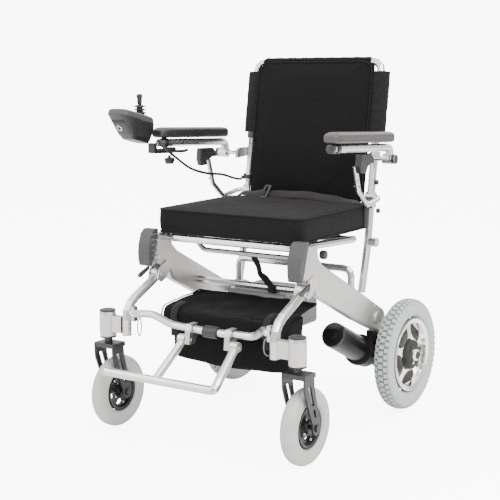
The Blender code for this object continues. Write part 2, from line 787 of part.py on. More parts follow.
# --- joystick -----------------------------------------------------------------------------
def controller():
    """Joystick box with its bevelled top, the arm that holds it and the clamp knob."""
    x, y, z = JOY
    tilt = Matrix.Rotation(math.radians(-CONTROLLER_TILT), 3, "X")
    pivot = at(x, y, z)
    sections = []
    for drop, hx, front, back in (
        (-0.072, 0.024, 0.040, 0.030), (-0.062, 0.030, 0.056, 0.034), (-0.030, 0.035, 0.092, 0.040),
        (-0.016, 0.036, 0.108, 0.038), (-0.004, 0.035, 0.106, 0.034), (0.0, 0.031, 0.098, 0.030),
    ):
        ring = super_ring((0, (back - front) / 2, drop), hx, (front + back) / 2, 20, 4.0)
        sections.append([pivot + tilt @ point for point in ring])
    body = loft("controller_box", sections)
    pocket = cylinder("pocket", 0.0180, 0.020, at(x, y, z + 0.002), (0, 0, 1), 24)
    combine(body, [pocket], "DIFFERENCE")
    for dx in (-0.014, 0.014):
        place = pivot + tilt @ Vector((dx, -0.045, 0.0))
        seat = cylinder("seat", 0.0062, 0.012, place, tilt @ Vector((0, 0, 1)), 16)
        combine(body, [seat], "DIFFERENCE")
    finish(body, ((0.05, 0.05, 0.05), 0.45, 0.0))
    route = [at(-ARM_X, -0.406, 0.7475), at(-ARM_X, -0.330, 0.7435)]
    arm = as_mesh(tube("controller_mount", route, 0.0070, sides=3))
    block = box("block", (0.026, 0.030, 0.0115), at(-ARM_X, -0.345, 0.7485), 0.002)
    tongue = box("tongue", (0.022, 0.012, 0.028), at(-ARM_X - 0.006, -0.4120, 0.7560))
    combine(arm, [block, tongue])
    finish(arm, black())
    knob = turned(
        "controller_knob",
        [(0, 0.7320), (0.0045, 0.7320), (0.0045, 0.7260), (0.012, 0.7240), (0.0135, 0.7200),
         (0.0120, 0.7080), (0, 0.7070)],
        at(-ARM_X, -0.345, 0), (0, 0, 1), 20,
    )
    finish(knob, black())


def joystick():
    """Ringed boot, the stick with its top and the two buttons."""
    x, y, z = JOY
    boot = turned(
        "joystick_boot",
        [(0.0052, z + 0.030), (0.0085, z + 0.027), (0.0075, z + 0.022), (0.0120, z + 0.019),
         (0.0105, z + 0.014), (0.0155, z + 0.011), (0.0140, z + 0.006), (0.0160, z + 0.003),
         (0.0150, z - 0.004), (0.0052, z - 0.004)],
        at(x, y, 0), (0, 0, 1), 16, True,
    )
    finish(boot, black())
    stick = turned(
        "joystick_stick",
        [(0, z + 0.060), (0.006, z + 0.059), (0.0085, z + 0.054), (0.0075, z + 0.040),
         (0.0046, z + 0.032), (0.0046, z - 0.002), (0, z - 0.002)],
        at(x, y, 0), (0, 0, 1), 20,
    )
    finish(stick, black())
    tilt = Matrix.Rotation(math.radians(-CONTROLLER_TILT), 3, "X")
    for name, dx in (("power_button", -0.014), ("horn_button", 0.014)):
        place = at(x, y, z) + tilt @ Vector((dx, -0.045, 0.0))
        button = cylinder(name, 0.0056, 0.0060, place, tilt @ Vector((0, 0, 1)), 16)
        finish(button, ((0.3, 0.3, 0.3), 0.4, 0.0))


def controller_cable():
    """Lead from the controller, under the armrest and down to the back post's clip."""
    nodes = [
        Vector((-0.2680, -0.4055, 0.7780)), Vector((-0.2480, -0.3960, 0.7540)),
        Vector((-0.2460, -0.3500, 0.7250)), Vector((-0.2440, -0.2900, 0.6920)),
        Vector((-0.2290, -0.2350, 0.6740)), Vector((-0.2275, -0.1600, 0.6640)),
        Vector((-0.2270, -0.1000, 0.6480)), Vector((-0.2265, -0.0640, 0.6420)),
    ]
    count = 30
    points = []
    for i in range(count + 1):
        t = i / count * (len(nodes) - 1)
        k = min(int(t), len(nodes) - 2)
        u = t - k
        before, after = nodes[max(k - 1, 0)], nodes[min(k + 2, len(nodes) - 1)]
        one, two = nodes[k], nodes[k + 1]
        slope_one, slope_two = (two - before) / 2, (after - one) / 2
        h1, h2 = 2 * u**3 - 3 * u**2 + 1, u**3 - 2 * u**2 + u
        h3, h4 = -2 * u**3 + 3 * u**2, u**3 - u**2
        place = one * h1 + slope_one * h2 + two * h3 + slope_two * h4
        points.append(at(*place))
    cable = tube("controller_cable", points, 0.0038, sides=2)
    finish(cable, black())


def leg_lever(side, sign):
    """Flat release lever on top of each leg's hinge."""
    y, z = LEG_HINGE
    face = [(y - 0.006, z + 0.024), (y - 0.050, z + 0.008), (y - 0.056, z), (y - 0.048, z - 0.004),
            (y - 0.008, z + 0.014)]
    lever = outline("leg_lever_" + side, face, 0.008, sign * (LEG_X + 0.0226))
    bevel(lever, 0.0015, 1)
    finish(lever, black())


# --- pivots -------------------------------------------------------------------------------
def pivot(name, place, nodes, parent=None):
    """Hang the nodes, where they are, on an empty that sits on their joint's axis."""
    empty = bpy.data.objects.new(name, None)
    empty.empty_display_size = 0.03
    empty.location = place
    bpy.data.collections["transport_wheelchair"].objects.link(empty)
    if parent:
        hang(empty, bpy.data.objects[parent])
    for node in nodes:
        hang(bpy.data.objects[node], empty)


def hang(obj, empty):
    """Parent an object to a pivot without moving it: pivots are never turned, only placed."""
    obj.parent = empty
    obj.matrix_parent_inverse = Matrix.Translation(-empty.location)


def pivots():
    """Every moving piece turns or slides about the empty that it hangs on."""
    pivot("front_frame_pivot", at(0, *LEG_HINGE), ["front_hoop", "hoop_sleeve"])
    pivot("footrest_pivot", at(0, *FOOT_PIVOT), ["footrest_frame"], "front_frame_pivot")
    pivot("backrest_pivot", at(0, *BACK_HINGE), ["back_posts", "back_cover"])
    pivot("fold_lock_pivot", at(0.208, -0.314, 0.484), ["fold_lock_knob"])
    for side, sign in (("left", 1), ("right", -1)):
        front = bpy.data.objects["front_frame_pivot"]
        for node in ("front_leg_", "caster_housing_", "foot_bracket_"):
            hang(bpy.data.objects[node + side], front)
        wheel = [node + side for node in ("rear_tyre_", "rear_rim_", "rear_hub_")]
        pivot("rear_wheel_pivot_" + side, at(sign * REAR_WHEEL_X, 0, REAR_WHEEL_R), wheel)
        stem = at(sign * CASTER_X, STEM_Y, 0.25)
        pivot("caster_stem_pivot_" + side, stem, ["caster_fork_" + side], "front_frame_pivot")
        axle = at(sign * CASTER_X, STEM_Y + CASTER_TRAIL, CASTER_R)
        rolling = ["caster_tyre_" + side, "caster_rim_" + side]
        pivot("caster_wheel_pivot_" + side, axle, rolling, "caster_stem_pivot_" + side)
        pivot("leg_lever_pivot_" + side, at(sign * 0.2586, -0.472, 0.432), ["leg_lever_" + side])
        arm = ["armrest_tube_" + side, "armrest_pad_" + side]
        pivot("armrest_pivot_" + side, at(sign * ARM_X, *ARM_PIVOT), arm, "backrest_pivot")
        latch = at(sign * 0.262, -0.216, 0.738)
        pivot("armrest_latch_pivot_" + side, latch, ["armrest_latch_" + side], "armrest_pivot_" + side)
    control_pivots("armrest_pivot_right")


def control_pivots(arm):
    for node in ("controller_mount", "controller_box", "controller_cable"):
        hang(bpy.data.objects[node], bpy.data.objects[arm])
    for node in ("power_button", "horn_button"):
        hang(bpy.data.objects[node], bpy.data.objects[arm])
    pivot("controller_knob_pivot", at(-ARM_X, -0.345, 0.72), ["controller_knob"], arm)
    pivot("joystick_pivot", at(*JOY), ["joystick_boot"], arm)
    pivot("joystick_stick_pivot", at(*JOY), ["joystick_stick"], "joystick_pivot")


def build():
    reset()
    for side, sign in (("left", 1), ("right", -1)):
        rear_wheel(side, sign)
        caster(side, sign)
        caster_fork(side, sign)
        front_leg(side, sign)
        caster_housing(side, sign)
        side_beam(side, sign)
        front_cap(side, sign)
        motor(side, sign)
        armrest(side, sign)
        leg_lever(side, sign)
        foot_bracket(side, sign)
        hinge_bolt(side, sign)
        lower_post(side, sign)
    front_hoop()
    footrest()
    cross_arch()
    frame_crossbar()
    battery()
    under_seat_bag()
    seat_frame()
    fold_lock()
    seat_cushion()
    seat_belt()
    back_posts()
    back_cover()
    controller()
    joystick()
    controller_cable()
    pivots()


build()
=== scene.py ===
"""Finishes, soft goods and studio for the folding powered wheelchair."""

import logging
import math
from dataclasses import dataclass
from enum import Enum
from typing import Callable, Sequence

import bmesh
import bpy
from mathutils import Matrix, Vector, noise
from mathutils.bvhtree import BVHTree


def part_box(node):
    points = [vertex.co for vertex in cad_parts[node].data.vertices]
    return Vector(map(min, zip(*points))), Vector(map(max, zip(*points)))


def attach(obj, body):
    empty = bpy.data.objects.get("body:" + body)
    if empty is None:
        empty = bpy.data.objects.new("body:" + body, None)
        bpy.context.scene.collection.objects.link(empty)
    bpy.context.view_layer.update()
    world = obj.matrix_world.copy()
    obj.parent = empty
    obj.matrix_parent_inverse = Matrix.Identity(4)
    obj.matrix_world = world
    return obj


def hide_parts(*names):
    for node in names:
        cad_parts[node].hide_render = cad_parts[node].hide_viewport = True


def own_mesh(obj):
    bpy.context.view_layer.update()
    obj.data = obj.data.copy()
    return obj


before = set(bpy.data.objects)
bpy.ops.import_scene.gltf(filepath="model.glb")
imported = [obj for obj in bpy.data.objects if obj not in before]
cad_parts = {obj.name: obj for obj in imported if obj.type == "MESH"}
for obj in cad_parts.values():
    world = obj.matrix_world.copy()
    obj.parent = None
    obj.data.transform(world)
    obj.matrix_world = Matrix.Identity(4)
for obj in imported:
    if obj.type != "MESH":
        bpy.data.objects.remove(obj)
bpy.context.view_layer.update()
LOG = logging.getLogger("wheelchair")
SIDES = (("left", 1.0), ("right", -1.0))
Point = Sequence[float]
Colour = tuple[float, float, float]

# --- shader maths -------------------------------------------------------------------------


class Signal:
    """One shader socket; arithmetic on it adds Math nodes."""

    def __init__(self, nodes: "Nodes", socket: bpy.types.NodeSocket) -> None:
        """Wrap a socket of a node tree."""
        self.nodes = nodes
        self.socket = socket

    def _math(self, operation: str, left: object, right: object = 0.0) -> "Signal":
        """Add one Math node.

        Args:
            operation: the node's operation.
            left: first value or signal.
            right: second value or signal.

        Returns:
            The node's result.
        """
        return self.nodes.add(
            "ShaderNodeMath", {"operation": operation}, {0: left, 1: right})

    def __add__(self, other: object) -> "Signal":
        """Sum."""
        return self._math("ADD", self, other)

    def __radd__(self, other: object) -> "Signal":
        """Sum with a number on the left."""
        return self._math("ADD", other, self)

    def __sub__(self, other: object) -> "Signal":
        """Difference."""
        return self._math("SUBTRACT", self, other)

    def __rsub__(self, other: object) -> "Signal":
        """Difference from a number."""
        return self._math("SUBTRACT", other, self)

    def __mul__(self, other: object) -> "Signal":
        """Product."""
        return self._math("MULTIPLY", self, other)

    def __rmul__(self, other: object) -> "Signal":
        """Product with a number on the left."""
        return self._math("MULTIPLY", other, self)

    def sine(self) -> "Signal":
        """Sine of the value."""
        return self._math("SINE", self)

    def above(self, level: float, soft: float) -> "Signal":
        """Soft step.

        Args:
            level: value at the middle of the step.
            soft: half width of the step.

        Returns:
            0 below the level and 1 above it.
        """
        return self.nodes.add(
            "ShaderNodeMapRange", {"interpolation_type": "SMOOTHSTEP"},
            {0: self, 1: level - soft, 2: level + soft})


class Nodes:
    """A node tree, with the one method that adds nodes to it."""

    def __init__(self, tree: bpy.types.NodeTree) -> None:
        """Wrap a tree."""
        self.tree = tree

    def add(self, kind: str, settings: dict, sockets: dict, out: int = 0) -> Signal:
        """Add any node.

        Args:
            kind: the node's type.
            settings: its properties, set first.
            sockets: values or signals by socket number or name.
            out: number of the output socket wanted.

        Returns:
            That output.
        """
        node = self.tree.nodes.new(kind)
        for key, value in settings.items():
            setattr(node, key, value)
        for key, value in sockets.items():
            if isinstance(value, Signal):
                self.tree.links.new(value.socket, node.inputs[key])
            else:
                node.inputs[key].default_value = value
        return Signal(self, node.outputs[out])


class Shader(Nodes):
    """A material with one Principled surface and the nodes that feed it."""

    def __init__(self, name: str, roughness: float, metallic: float = 0.0,
                 **fixed: float) -> None:
        """Start a material.

        Args:
            name: the material's name.
            roughness: roughness before anything is fed to it.
            metallic: metallic value.
            fixed: other constants, set on the sockets with those names.
        """
        self.material = bpy.data.materials.new(name)
        self.material.use_nodes = True
        super().__init__(self.material.node_tree)
        self.surface = self.tree.nodes["Principled BSDF"]
        self.surface.inputs["Roughness"].default_value = roughness
        self.surface.inputs["Metallic"].default_value = metallic
        for socket, value in fixed.items():
            self.surface.inputs[socket.replace("_", " ")].default_value = value

    def place(self, stretch: Point = (1.0, 1.0, 1.0)) -> Signal:
        """Place on the piece in metres, scaled along each axis."""
        raw = self.add("ShaderNodeTexCoord", {}, {}, 3)
        return self.add("ShaderNodeVectorMath", {"operation": "MULTIPLY"},
                        {0: raw, 1: tuple(stretch)})

    def axis(self, direction: Point) -> Signal:
        """How far a point lies along a direction, in metres."""
        return self.add("ShaderNodeVectorMath", {"operation": "DOT_PRODUCT"},
                        {0: self.place(), 1: tuple(direction)}, 1)

    def noise(self, scale: float, detail: float = 2.0,
              stretch: Point = (1.0, 1.0, 1.0)) -> Signal:
        """Cloudy noise from 0 to 1.

        Args:
            scale: features per metre.
            detail: octaves.
            stretch: scale along each axis, for brushed or woven grain.

        Returns:
            The noise.
        """
        return self.add("ShaderNodeTexNoise", {}, {
            "Vector": self.place(stretch), "Scale": scale, "Detail": detail})

    def cells(self, scale: float) -> Signal:
        """Distance to the nearest of many scattered points, for grained skins."""
        return self.add("ShaderNodeTexVoronoi", {}, {
            "Vector": self.place(), "Scale": scale})

    def blend(self, factor: object, one: Colour, two: Colour | Signal) -> Signal:
        """Mix two colours."""
        wide = [c if isinstance(c, Signal) else (*c, 1.0) for c in (one, two)]
        return self.add("ShaderNodeMix", {"data_type": "RGBA"},
                        {0: factor, 6: wide[0], 7: wide[1]}, 2)

    def feed(self, socket: str, value: Signal) -> None:
        """Link a signal to a socket of the surface."""
        self.tree.links.new(value.socket, self.surface.inputs[socket])

    def relief(self, height: Signal, depth: float) -> None:
        """Raise the surface by a height signal of the given depth in metres."""
        normal = self.add("ShaderNodeBump", {}, {
            "Strength": 1.0, "Distance": depth, "Height": height})
        self.feed("Normal", normal)


def tint(colour: Colour, by: float) -> Colour:
    """A colour made lighter or darker by a factor."""
    return tuple(min(1.0, c * by) for c in colour)


# --- finishes -----------------------------------------------------------------------------


class Grain(Enum):
    """Direction of the fine lines in a metal's surface, as a stretch per axis."""

    NONE = (1.0, 1.0, 1.0)
    LENGTHWAYS = (4.0, 0.12, 4.0)
    UPRIGHT = (4.0, 4.0, 0.12)


@dataclass(frozen=True)
class Metal:
    """Bare, plated or painted metal."""

    name: str
    colour: Colour
    roughness: float
    metallic: float = 1.0
    grain: Grain = Grain.NONE
    coat: float = 0.0

    def make(self) -> bpy.types.Material:
        """Build the material."""
        sh = Shader(self.name, self.roughness, self.metallic, Coat_Weight=self.coat,
                    Coat_Roughness=0.15)
        lines = sh.noise(420.0, 3.0, self.grain.value)
        cloud = sh.noise(14.0, 3.0)
        rub = sh.noise(55.0, 4.0).above(0.62, 0.10)
        base = sh.blend(cloud, tint(self.colour, 0.93), tint(self.colour, 1.05))
        sh.feed("Base Color", sh.blend(0.16 * rub, base, tint(self.colour, 1.25)))
        sh.feed("Roughness", self.roughness - 0.06 + 0.08 * lines + 0.05 * cloud)
        sh.relief(lines + 0.6 * sh.noise(1500.0, 1.0), 0.00005)
        return sh.material


@dataclass(frozen=True)
class Moulded:
    """Moulded plastic, foam skin or rubber with a grained surface."""

    name: str
    colour: Colour
    roughness: float
    pitch: float = 900.0
    depth: float = 0.00012
    dust: float = 0.10

    def make(self) -> bpy.types.Material:
        """Build the material."""
        sh = Shader(self.name, self.roughness)
        cloud = sh.noise(18.0, 4.0)
        dust = (sh.noise(70.0, 5.0) * 0.6 + cloud * 0.4).above(0.55, 0.12)
        base = sh.blend(cloud, tint(self.colour, 0.86), tint(self.colour, 1.12))
        worn = tuple(c * 0.9 + 0.03 for c in self.colour)
        sh.feed("Base Color", sh.blend(dust * self.dust, base, worn))
        skin = sh.cells(self.pitch)
        sh.feed("Roughness", self.roughness - 0.07 + 0.10 * cloud + 0.08 * skin)
        sh.relief(skin + 0.5 * sh.noise(self.pitch * 0.4, 2.0), self.depth)
        return sh.material


@dataclass(frozen=True)
class Cloth:
    """Woven or knitted cloth, with a weave that needs no unwrapping."""

    name: str
    colour: Colour
    pitch: float
    depth: float
    sheen: float = 0.25
    fade: float = 1.5

    def make(self) -> bpy.types.Material:
        """Build the material."""
        sh = Shader(self.name, 0.86, Sheen_Weight=self.sheen, Sheen_Roughness=0.45,
                    Specular_IOR_Level=0.08)
        turn = 2.0 * math.pi / self.pitch
        threads = [(turn * sh.axis(a)).sine() for a in ((1, 0, 0), (0, 1, 0), (0, 0, 1))]
        weave = (threads[0] + threads[1] + threads[2]) * 0.17 + 0.5
        slub = sh.noise(240.0, 3.0)
        cloud = sh.noise(9.0, 4.0)
        fold = sh.noise(26.0, 3.0)
        light = tint(self.colour, self.fade)
        base = sh.blend(weave * 0.55 + slub * 0.25, tint(self.colour, 0.55), light)
        lint = sh.noise(520.0, 2.0).above(0.74, 0.03)
        base = sh.blend(lint * 0.22, base, tuple(c * 0.8 + 0.03 for c in self.colour))
        sh.feed("Base Color", sh.blend(cloud * 0.35, base, tint(self.colour, 0.8)))
        sh.feed("Roughness", 0.74 + 0.16 * weave + 0.06 * cloud)
        sh.relief(weave + 0.3 * slub + 2.2 * fold, self.depth)
        return sh.material


@dataclass(frozen=True)
class Webbing:
    """Flat woven strap with ribs across it."""

    name: str
    colour: Colour

    def make(self) -> bpy.types.Material:
        """Build the material."""
        sh = Shader(self.name, 0.8, Sheen_Weight=0.05, Specular_IOR_Level=0.25)
        ribs = (2600.0 * sh.axis((1, 0.25, 0.1))).sine() * 0.5 + 0.5
        cross = (1900.0 * sh.axis((0.1, 0.7, 0.7))).sine() * 0.5 + 0.5
        cloud = sh.noise(30.0, 4.0)
        thread = ribs * 0.6 + cross * 0.4
        base = sh.blend(thread, tint(self.colour, 0.6), tint(self.colour, 1.3))
        sh.feed("Base Color", sh.blend(cloud * 0.3, base, tint(self.colour, 0.7)))
        sh.feed("Roughness", 0.7 + 0.2 * thread)
        sh.relief(thread, 0.0004)
        return sh.material


@dataclass(frozen=True)
class TwoTone:
    """The controller's shell: lighter top skin over a darker body."""

    name: str
    top: Colour
    body: Colour
    normal: Point
    level: float

    def make(self) -> bpy.types.Material:
        """Build the material."""
        sh = Shader(self.name, 0.42)
        wave = sh.noise(22.0, 1.0) * 0.004
        mask = (sh.axis(self.normal) + wave).above(self.level, 0.0006)
        cloud = sh.noise(30.0, 4.0)
        skin = sh.blend(cloud, tint(self.body, 0.8), tint(self.body, 1.25))
        cap = sh.blend(cloud, tint(self.top, 0.9), tint(self.top, 1.1))
        sh.feed("Base Color", sh.blend(mask, skin, cap))
        sh.feed("Roughness", 0.34 + 0.16 * mask + 0.08 * cloud)
        sh.relief(sh.cells(1300.0), 0.00010)
        return sh.material


@dataclass(frozen=True)
class Carcass:
    """Tyre rubber with painted shade in the grooves between the tread blocks."""

    name: str
    wall: Colour
    # Colour of the crown between the tread blocks: painted shade, not a different rubber.
    groove: Colour
    axle: Point = (0.0, 0.255, 0.159)
    start: float = 0.1505

    def make(self) -> bpy.types.Material:
        """Build the material."""
        sh = Shader(self.name, 0.62)
        spoke = sh.add("ShaderNodeVectorMath", {"operation": "SUBTRACT"},
                       {0: sh.place((0, 1, 1)), 1: self.axle})
        radius = sh.add("ShaderNodeVectorMath", {"operation": "LENGTH"}, {0: spoke}, 1)
        # Painted shade: beyond this radius, between the tread blocks, the carcass takes the darker
        # colour.
        tread = radius.above(self.start, 0.0012)
        cloud = sh.noise(25.0, 4.0)
        wall = sh.blend(cloud, tint(self.wall, 0.9), tint(self.wall, 1.08))
        sh.feed("Base Color", sh.blend(tread, wall, self.groove))
        sh.feed("Roughness", 0.52 + 0.12 * cloud + 0.16 * tread)
        sh.relief(sh.cells(700.0) + 0.4 * sh.noise(260.0, 2.0), 0.0001)
        return sh.material


@dataclass(frozen=True)
class Paper:
    """The pale floor that the chair stands on."""

    name: str = "studio_floor"
    glow: float = 7.0

    def make(self) -> bpy.types.Material:
        """Build the material."""
        sh = Shader(self.name, 0.32)
        sh.surface.inputs["Emission Strength"].default_value = self.glow
        cloud = sh.noise(3.0, 2.0)
        sh.feed("Base Color", sh.blend(cloud, (0.93, 0.93, 0.93), (0.96, 0.96, 0.96)))
        seen = sh.add("ShaderNodeLightPath", {}, {})
        sh.feed("Emission Color", sh.blend(seen, (0.0, 0.0, 0.0), (1.0, 1.0, 1.0)))
        return sh.material


FINISHES = {
    "silver": Metal("satin_silver", (0.60, 0.585, 0.57), 0.27, 0.95),
    "beam": Metal("brushed_beam", (0.50, 0.485, 0.47), 0.36, 0.9, Grain.LENGTHWAYS),
    "housing": Metal("turned_housing", (0.54, 0.515, 0.49), 0.32, 0.9, Grain.UPRIGHT),
    "cast": Metal("gearbox_cast", (0.020, 0.020, 0.020), 0.42, 0.3),
    "motor": Metal("motor_paint", (0.008, 0.008, 0.0085), 0.30, 0.1, coat=0.2),
    "fork": Metal("fork_paint", (0.011, 0.0098, 0.0096), 0.38, 0.15, coat=0.1),
    "steel": Metal("zinc_plate", (0.55, 0.54, 0.52), 0.32),
    "dark_steel": Metal("blackened_steel", (0.16, 0.155, 0.15), 0.38, 0.7),
    "alloy": Metal("polished_alloy", (0.90, 0.865, 0.83), 0.20),
    "rim_black": Moulded("rim_black", (0.004, 0.004, 0.004), 0.62, 900.0, 0.0001, 0.0),
    "caster_rim": Metal("caster_rim_paint", (0.010, 0.010, 0.0105), 0.36, 0.15),
    "battery": Moulded("battery_case", (0.17, 0.158, 0.158), 0.40, 1100.0, 0.0001),
    "plastic": Moulded("black_plastic", (0.007, 0.007, 0.007), 0.42),
    "bumper": Moulded("bumper_grey", (0.030, 0.029, 0.029), 0.50),
    "rubber": Moulded("soft_black", (0.008, 0.008, 0.008), 0.55, 1300.0, 0.00008),
    "cable": Moulded("cable_jacket", (0.006, 0.006, 0.006), 0.48, 1500.0, 0.00005),
    "key": Moulded("key_grey", (0.10, 0.10, 0.10), 0.35, 1500.0, 0.00004),
    # Both pads are the same black foam; the left pad's lighter grey-brown copy is a painted
    # highlight.
    "pad_left": Moulded("pad_grey_brown", (0.046, 0.037, 0.0345), 0.42, 620.0, 0.0002),
    "pad_right": Moulded("pad_black", (0.010, 0.0095, 0.009), 0.42, 620.0, 0.0002),
    # The carcass's second, darker colour is painted shade between the tread blocks.
    "drive_carcass": Carcass("drive_carcass", (0.36, 0.385, 0.385), (0.13, 0.145, 0.145)),
    "drive_tyre": Moulded("drive_tyre", (0.36, 0.385, 0.385), 0.62, 700.0, 0.0001, 0.3),
    "caster_tyre": Moulded("caster_tyre", (0.37, 0.38, 0.35), 0.50, 800.0, 0.00008, 0.2),
    "cushion": Cloth("cushion_mesh", (0.0072, 0.0066, 0.0068), 0.0032, 0.0005, 0.03),
    "back": Cloth("back_cloth", (0.0062, 0.0056, 0.0061), 0.0022, 0.0004, 0.02),
    "side": Cloth("side_mesh", (0.0105, 0.0100, 0.0104), 0.0042, 0.0009, 0.04, 1.9),
    "bag": Cloth("bag_nylon", (0.0062, 0.0060, 0.0062), 0.0016, 0.0005, 0.02),
    "piping": Cloth("piping_cord", (0.0100, 0.0092, 0.0095), 0.0020, 0.0002, 0.04),
    "belt": Webbing("belt_webbing", (0.017, 0.0140, 0.0135)),
    "strap": Webbing("black_webbing", (0.008, 0.008, 0.008)),
    "floor": Paper(),
}
_made: dict[str, bpy.types.Material] = {}


def finish(key: str) -> bpy.types.Material:
    """The material of a finish, built once."""
    if key not in _made:
        _made[key] = FINISHES[key].make()
    return _made[key]


# --- shapes -------------------------------------------------------------------------------

CLOTH_STEPS = 20
CLOTH_QUALITY = 5


def turns(count: int) -> list[float]:
    """Angles of equal steps round a full turn, in radians."""
    return [2 * math.pi * i / count for i in range(count)]


def boxy(value: float, power: float) -> float:
    """A sine or cosine to a power, with its sign kept; low powers square a ring."""
    return math.copysign(abs(value) ** power, value)


@dataclass
class Solid:
    """Points and faces of a shape before it becomes an object."""

    points: list[Vector]
    faces: list[tuple[int, ...]]

    def join(self, *others: "Solid") -> "Solid":
        """Put other shapes into this one."""
        for other in others:
            base = len(self.points)
            self.points.extend(other.points)
            self.faces.extend(tuple(base + i for i in f) for f in other.faces)
        return self


def spline(nodes: Sequence[Point], count: int) -> list[Vector]:
    """A smooth line through some points.

    Args:
        nodes: points that the line passes.
        count: number of points wanted.

    Returns:
        The points along it.
    """
    knots = [Vector(n) for n in nodes]
    out = []
    for i in range(count):
        t = i / (count - 1) * (len(knots) - 1)
        k = min(int(t), len(knots) - 2)
        u = t - k
        before, after = knots[max(k - 1, 0)], knots[min(k + 2, len(knots) - 1)]
        one, two = knots[k], knots[k + 1]
        h = (2 * u**3 - 3 * u**2 + 1, u**3 - 2 * u**2 + u, -2 * u**3 + 3 * u**2, u**3 - u**2)
        out.append(one * h[0] + (two - before) * (h[1] / 2) + two * h[2]
                   + (after - one) * (h[3] / 2))
    return out


def skin(rings: list[list[Vector]], closed: bool = False, caps: bool = True) -> Solid:
    """Faces between rings of the same number of points.

    Args:
        rings: the rings, in order.
        closed: whether the last ring joins the first.
        caps: whether open ends are closed by a face.

    Returns:
        The shape.
    """
    size = len(rings[0])
    points = [p for ring in rings for p in ring]
    faces = []
    spans = len(rings) if closed else len(rings) - 1
    for i in range(spans):
        a, b = i * size, (i + 1) % len(rings) * size
        for j in range(size):
            k = (j + 1) % size
            faces.append((a + j, a + k, b + k, b + j))
    if caps and not closed:
        faces.append(tuple(reversed(range(size))))
        faces.append(tuple(range(len(points) - size, len(points))))
    return Solid(points, faces)


def sweep(path: Sequence[Vector], section: Sequence[Point], closed: bool = False,
          normals: Sequence[Vector] | None = None) -> Solid:
    """Carry a flat section along a path.

    Args:
        path: points of the middle line.
        section: (across, out) offsets of the outline.
        closed: whether the path is a loop.
        normals: direction of out at each point, or None to keep it steady.

    Returns:
        The swept shape.
    """
    count = len(path)
    rings = []
    last = None
    for i, point in enumerate(path):
        ahead = path[(i + 1) % count] if closed else path[min(i + 1, count - 1)]
        behind = path[i - 1] if closed else path[max(i - 1, 0)]
        along = (ahead - behind).normalized()
        if normals:
            out = normals[i]
        else:
            out = last if last else along.orthogonal()
        out = (out - along * out.dot(along)).normalized()
        last = out
        across = along.cross(out)
        rings.append([point + across * u + out * v for u, v in section])
    return skin(rings, closed)


def disc(radius: float, count: int = 10) -> list[Point]:
    """A round section."""
    turn = 2 * math.pi / count
    return [(radius * math.cos(i * turn), radius * math.sin(i * turn)) for i in range(count)]


def flat(width: float, thick: float) -> list[Point]:
    """A strap's section with softened edges."""
    w, t, c = width / 2, thick / 2, thick * 0.3
    return [(-w, -t + c), (-w + c, -t), (0, -t), (w - c, -t), (w, -t + c),
            (w, t - c), (w - c, t), (0, t), (-w + c, t), (-w, t - c)]


def lathe(profile: Sequence[Point], centre: Point, axis: Point, count: int = 48,
          ring: bool = False) -> Solid:
    """Turn a profile about an axis.

    Args:
        profile: (radius, along) points.
        centre: point on the axis where along is 0.
        axis: direction of the axis.
        count: steps round.
        ring: whether the profile is a closed loop away from the axis.

    Returns:
        The turned shape.
    """
    line = Vector(axis).normalized()
    one = line.orthogonal().normalized()
    two = line.cross(one)
    rings = []
    for a in turns(count):
        spoke = one * math.cos(a) + two * math.sin(a)
        rings.append([Vector(centre) + line * x + spoke * max(r, 0.0) for r, x in profile])
    solid = skin(rings, True)
    if not ring:
        size = len(profile)
        solid.faces = [f for f in solid.faces if abs(f[1] - f[0]) != size - 1]
    return solid


def rounded(half_x: float, half_y: float, radius: float, steps: int = 6) -> list[Point]:
    """Outline of a rectangle with round corners, from the front right corner round."""
    out = []
    for cx, cy, start in ((1, -1, -90), (1, 1, 0), (-1, 1, 90), (-1, -1, 180)):
        for i in range(steps + 1):
            a = math.radians(start + 90 * i / steps)
            out.append((cx * (half_x - radius) + radius * math.cos(a),
                        cy * (half_y - radius) + radius * math.sin(a)))
    return out


def make(name: str, solid: Solid, key: str, body: str, sharp: float = 35.0,
         subdivide: int = 0) -> bpy.types.Object:
    """Turn a shape into a finished piece that rides on a body.

    Args:
        name: the piece's name.
        solid: its shape.
        key: its finish.
        body: the CAD body that it moves with.
        sharp: angle above which an edge stays sharp, in degrees.
        subdivide: levels of subdivision.

    Returns:
        The object.
    """
    mesh = bpy.data.meshes.new(name)
    mesh.from_pydata([tuple(p) for p in solid.points], [], solid.faces)
    work = bmesh.new()
    work.from_mesh(mesh)
    bmesh.ops.remove_doubles(work, verts=work.verts, dist=1e-6)
    bmesh.ops.recalc_face_normals(work, faces=work.faces)
    work.to_mesh(mesh)
    work.free()
    mesh.shade_smooth()
    mesh.set_sharp_from_angle(angle=math.radians(sharp))
    obj = bpy.data.objects.new(name, mesh)
    bpy.context.scene.collection.objects.link(obj)
    mesh.materials.append(finish(key))
    if subdivide:
        modifier = obj.modifiers.new("smooth", "SUBSURF")
        modifier.levels = modifier.render_levels = subdivide
    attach(obj, body)
    LOG.info("%s: %d faces on %s", name, len(mesh.polygons), body)
    return obj


def block(size: Point, centre: Point, soft: float, tilt: float = 0.0) -> Solid:
    """A box with bevelled edges, tilted about X by degrees."""
    work = bmesh.new()
    bmesh.ops.create_cube(work, size=1.0)
    bmesh.ops.scale(work, vec=Vector(size), verts=work.verts)
    bmesh.ops.bevel(work, geom=work.edges[:], offset=soft, segments=3, profile=0.7,
                    affect="EDGES")
    turn = Matrix.Translation(Vector(centre)) @ Matrix.Rotation(math.radians(tilt), 4, "X")
    bmesh.ops.transform(work, matrix=turn, verts=work.verts)
    work.verts.index_update()
    solid = Solid([v.co.copy() for v in work.verts],
                  [tuple(v.index for v in f.verts) for f in work.faces])
    work.free()
    return solid


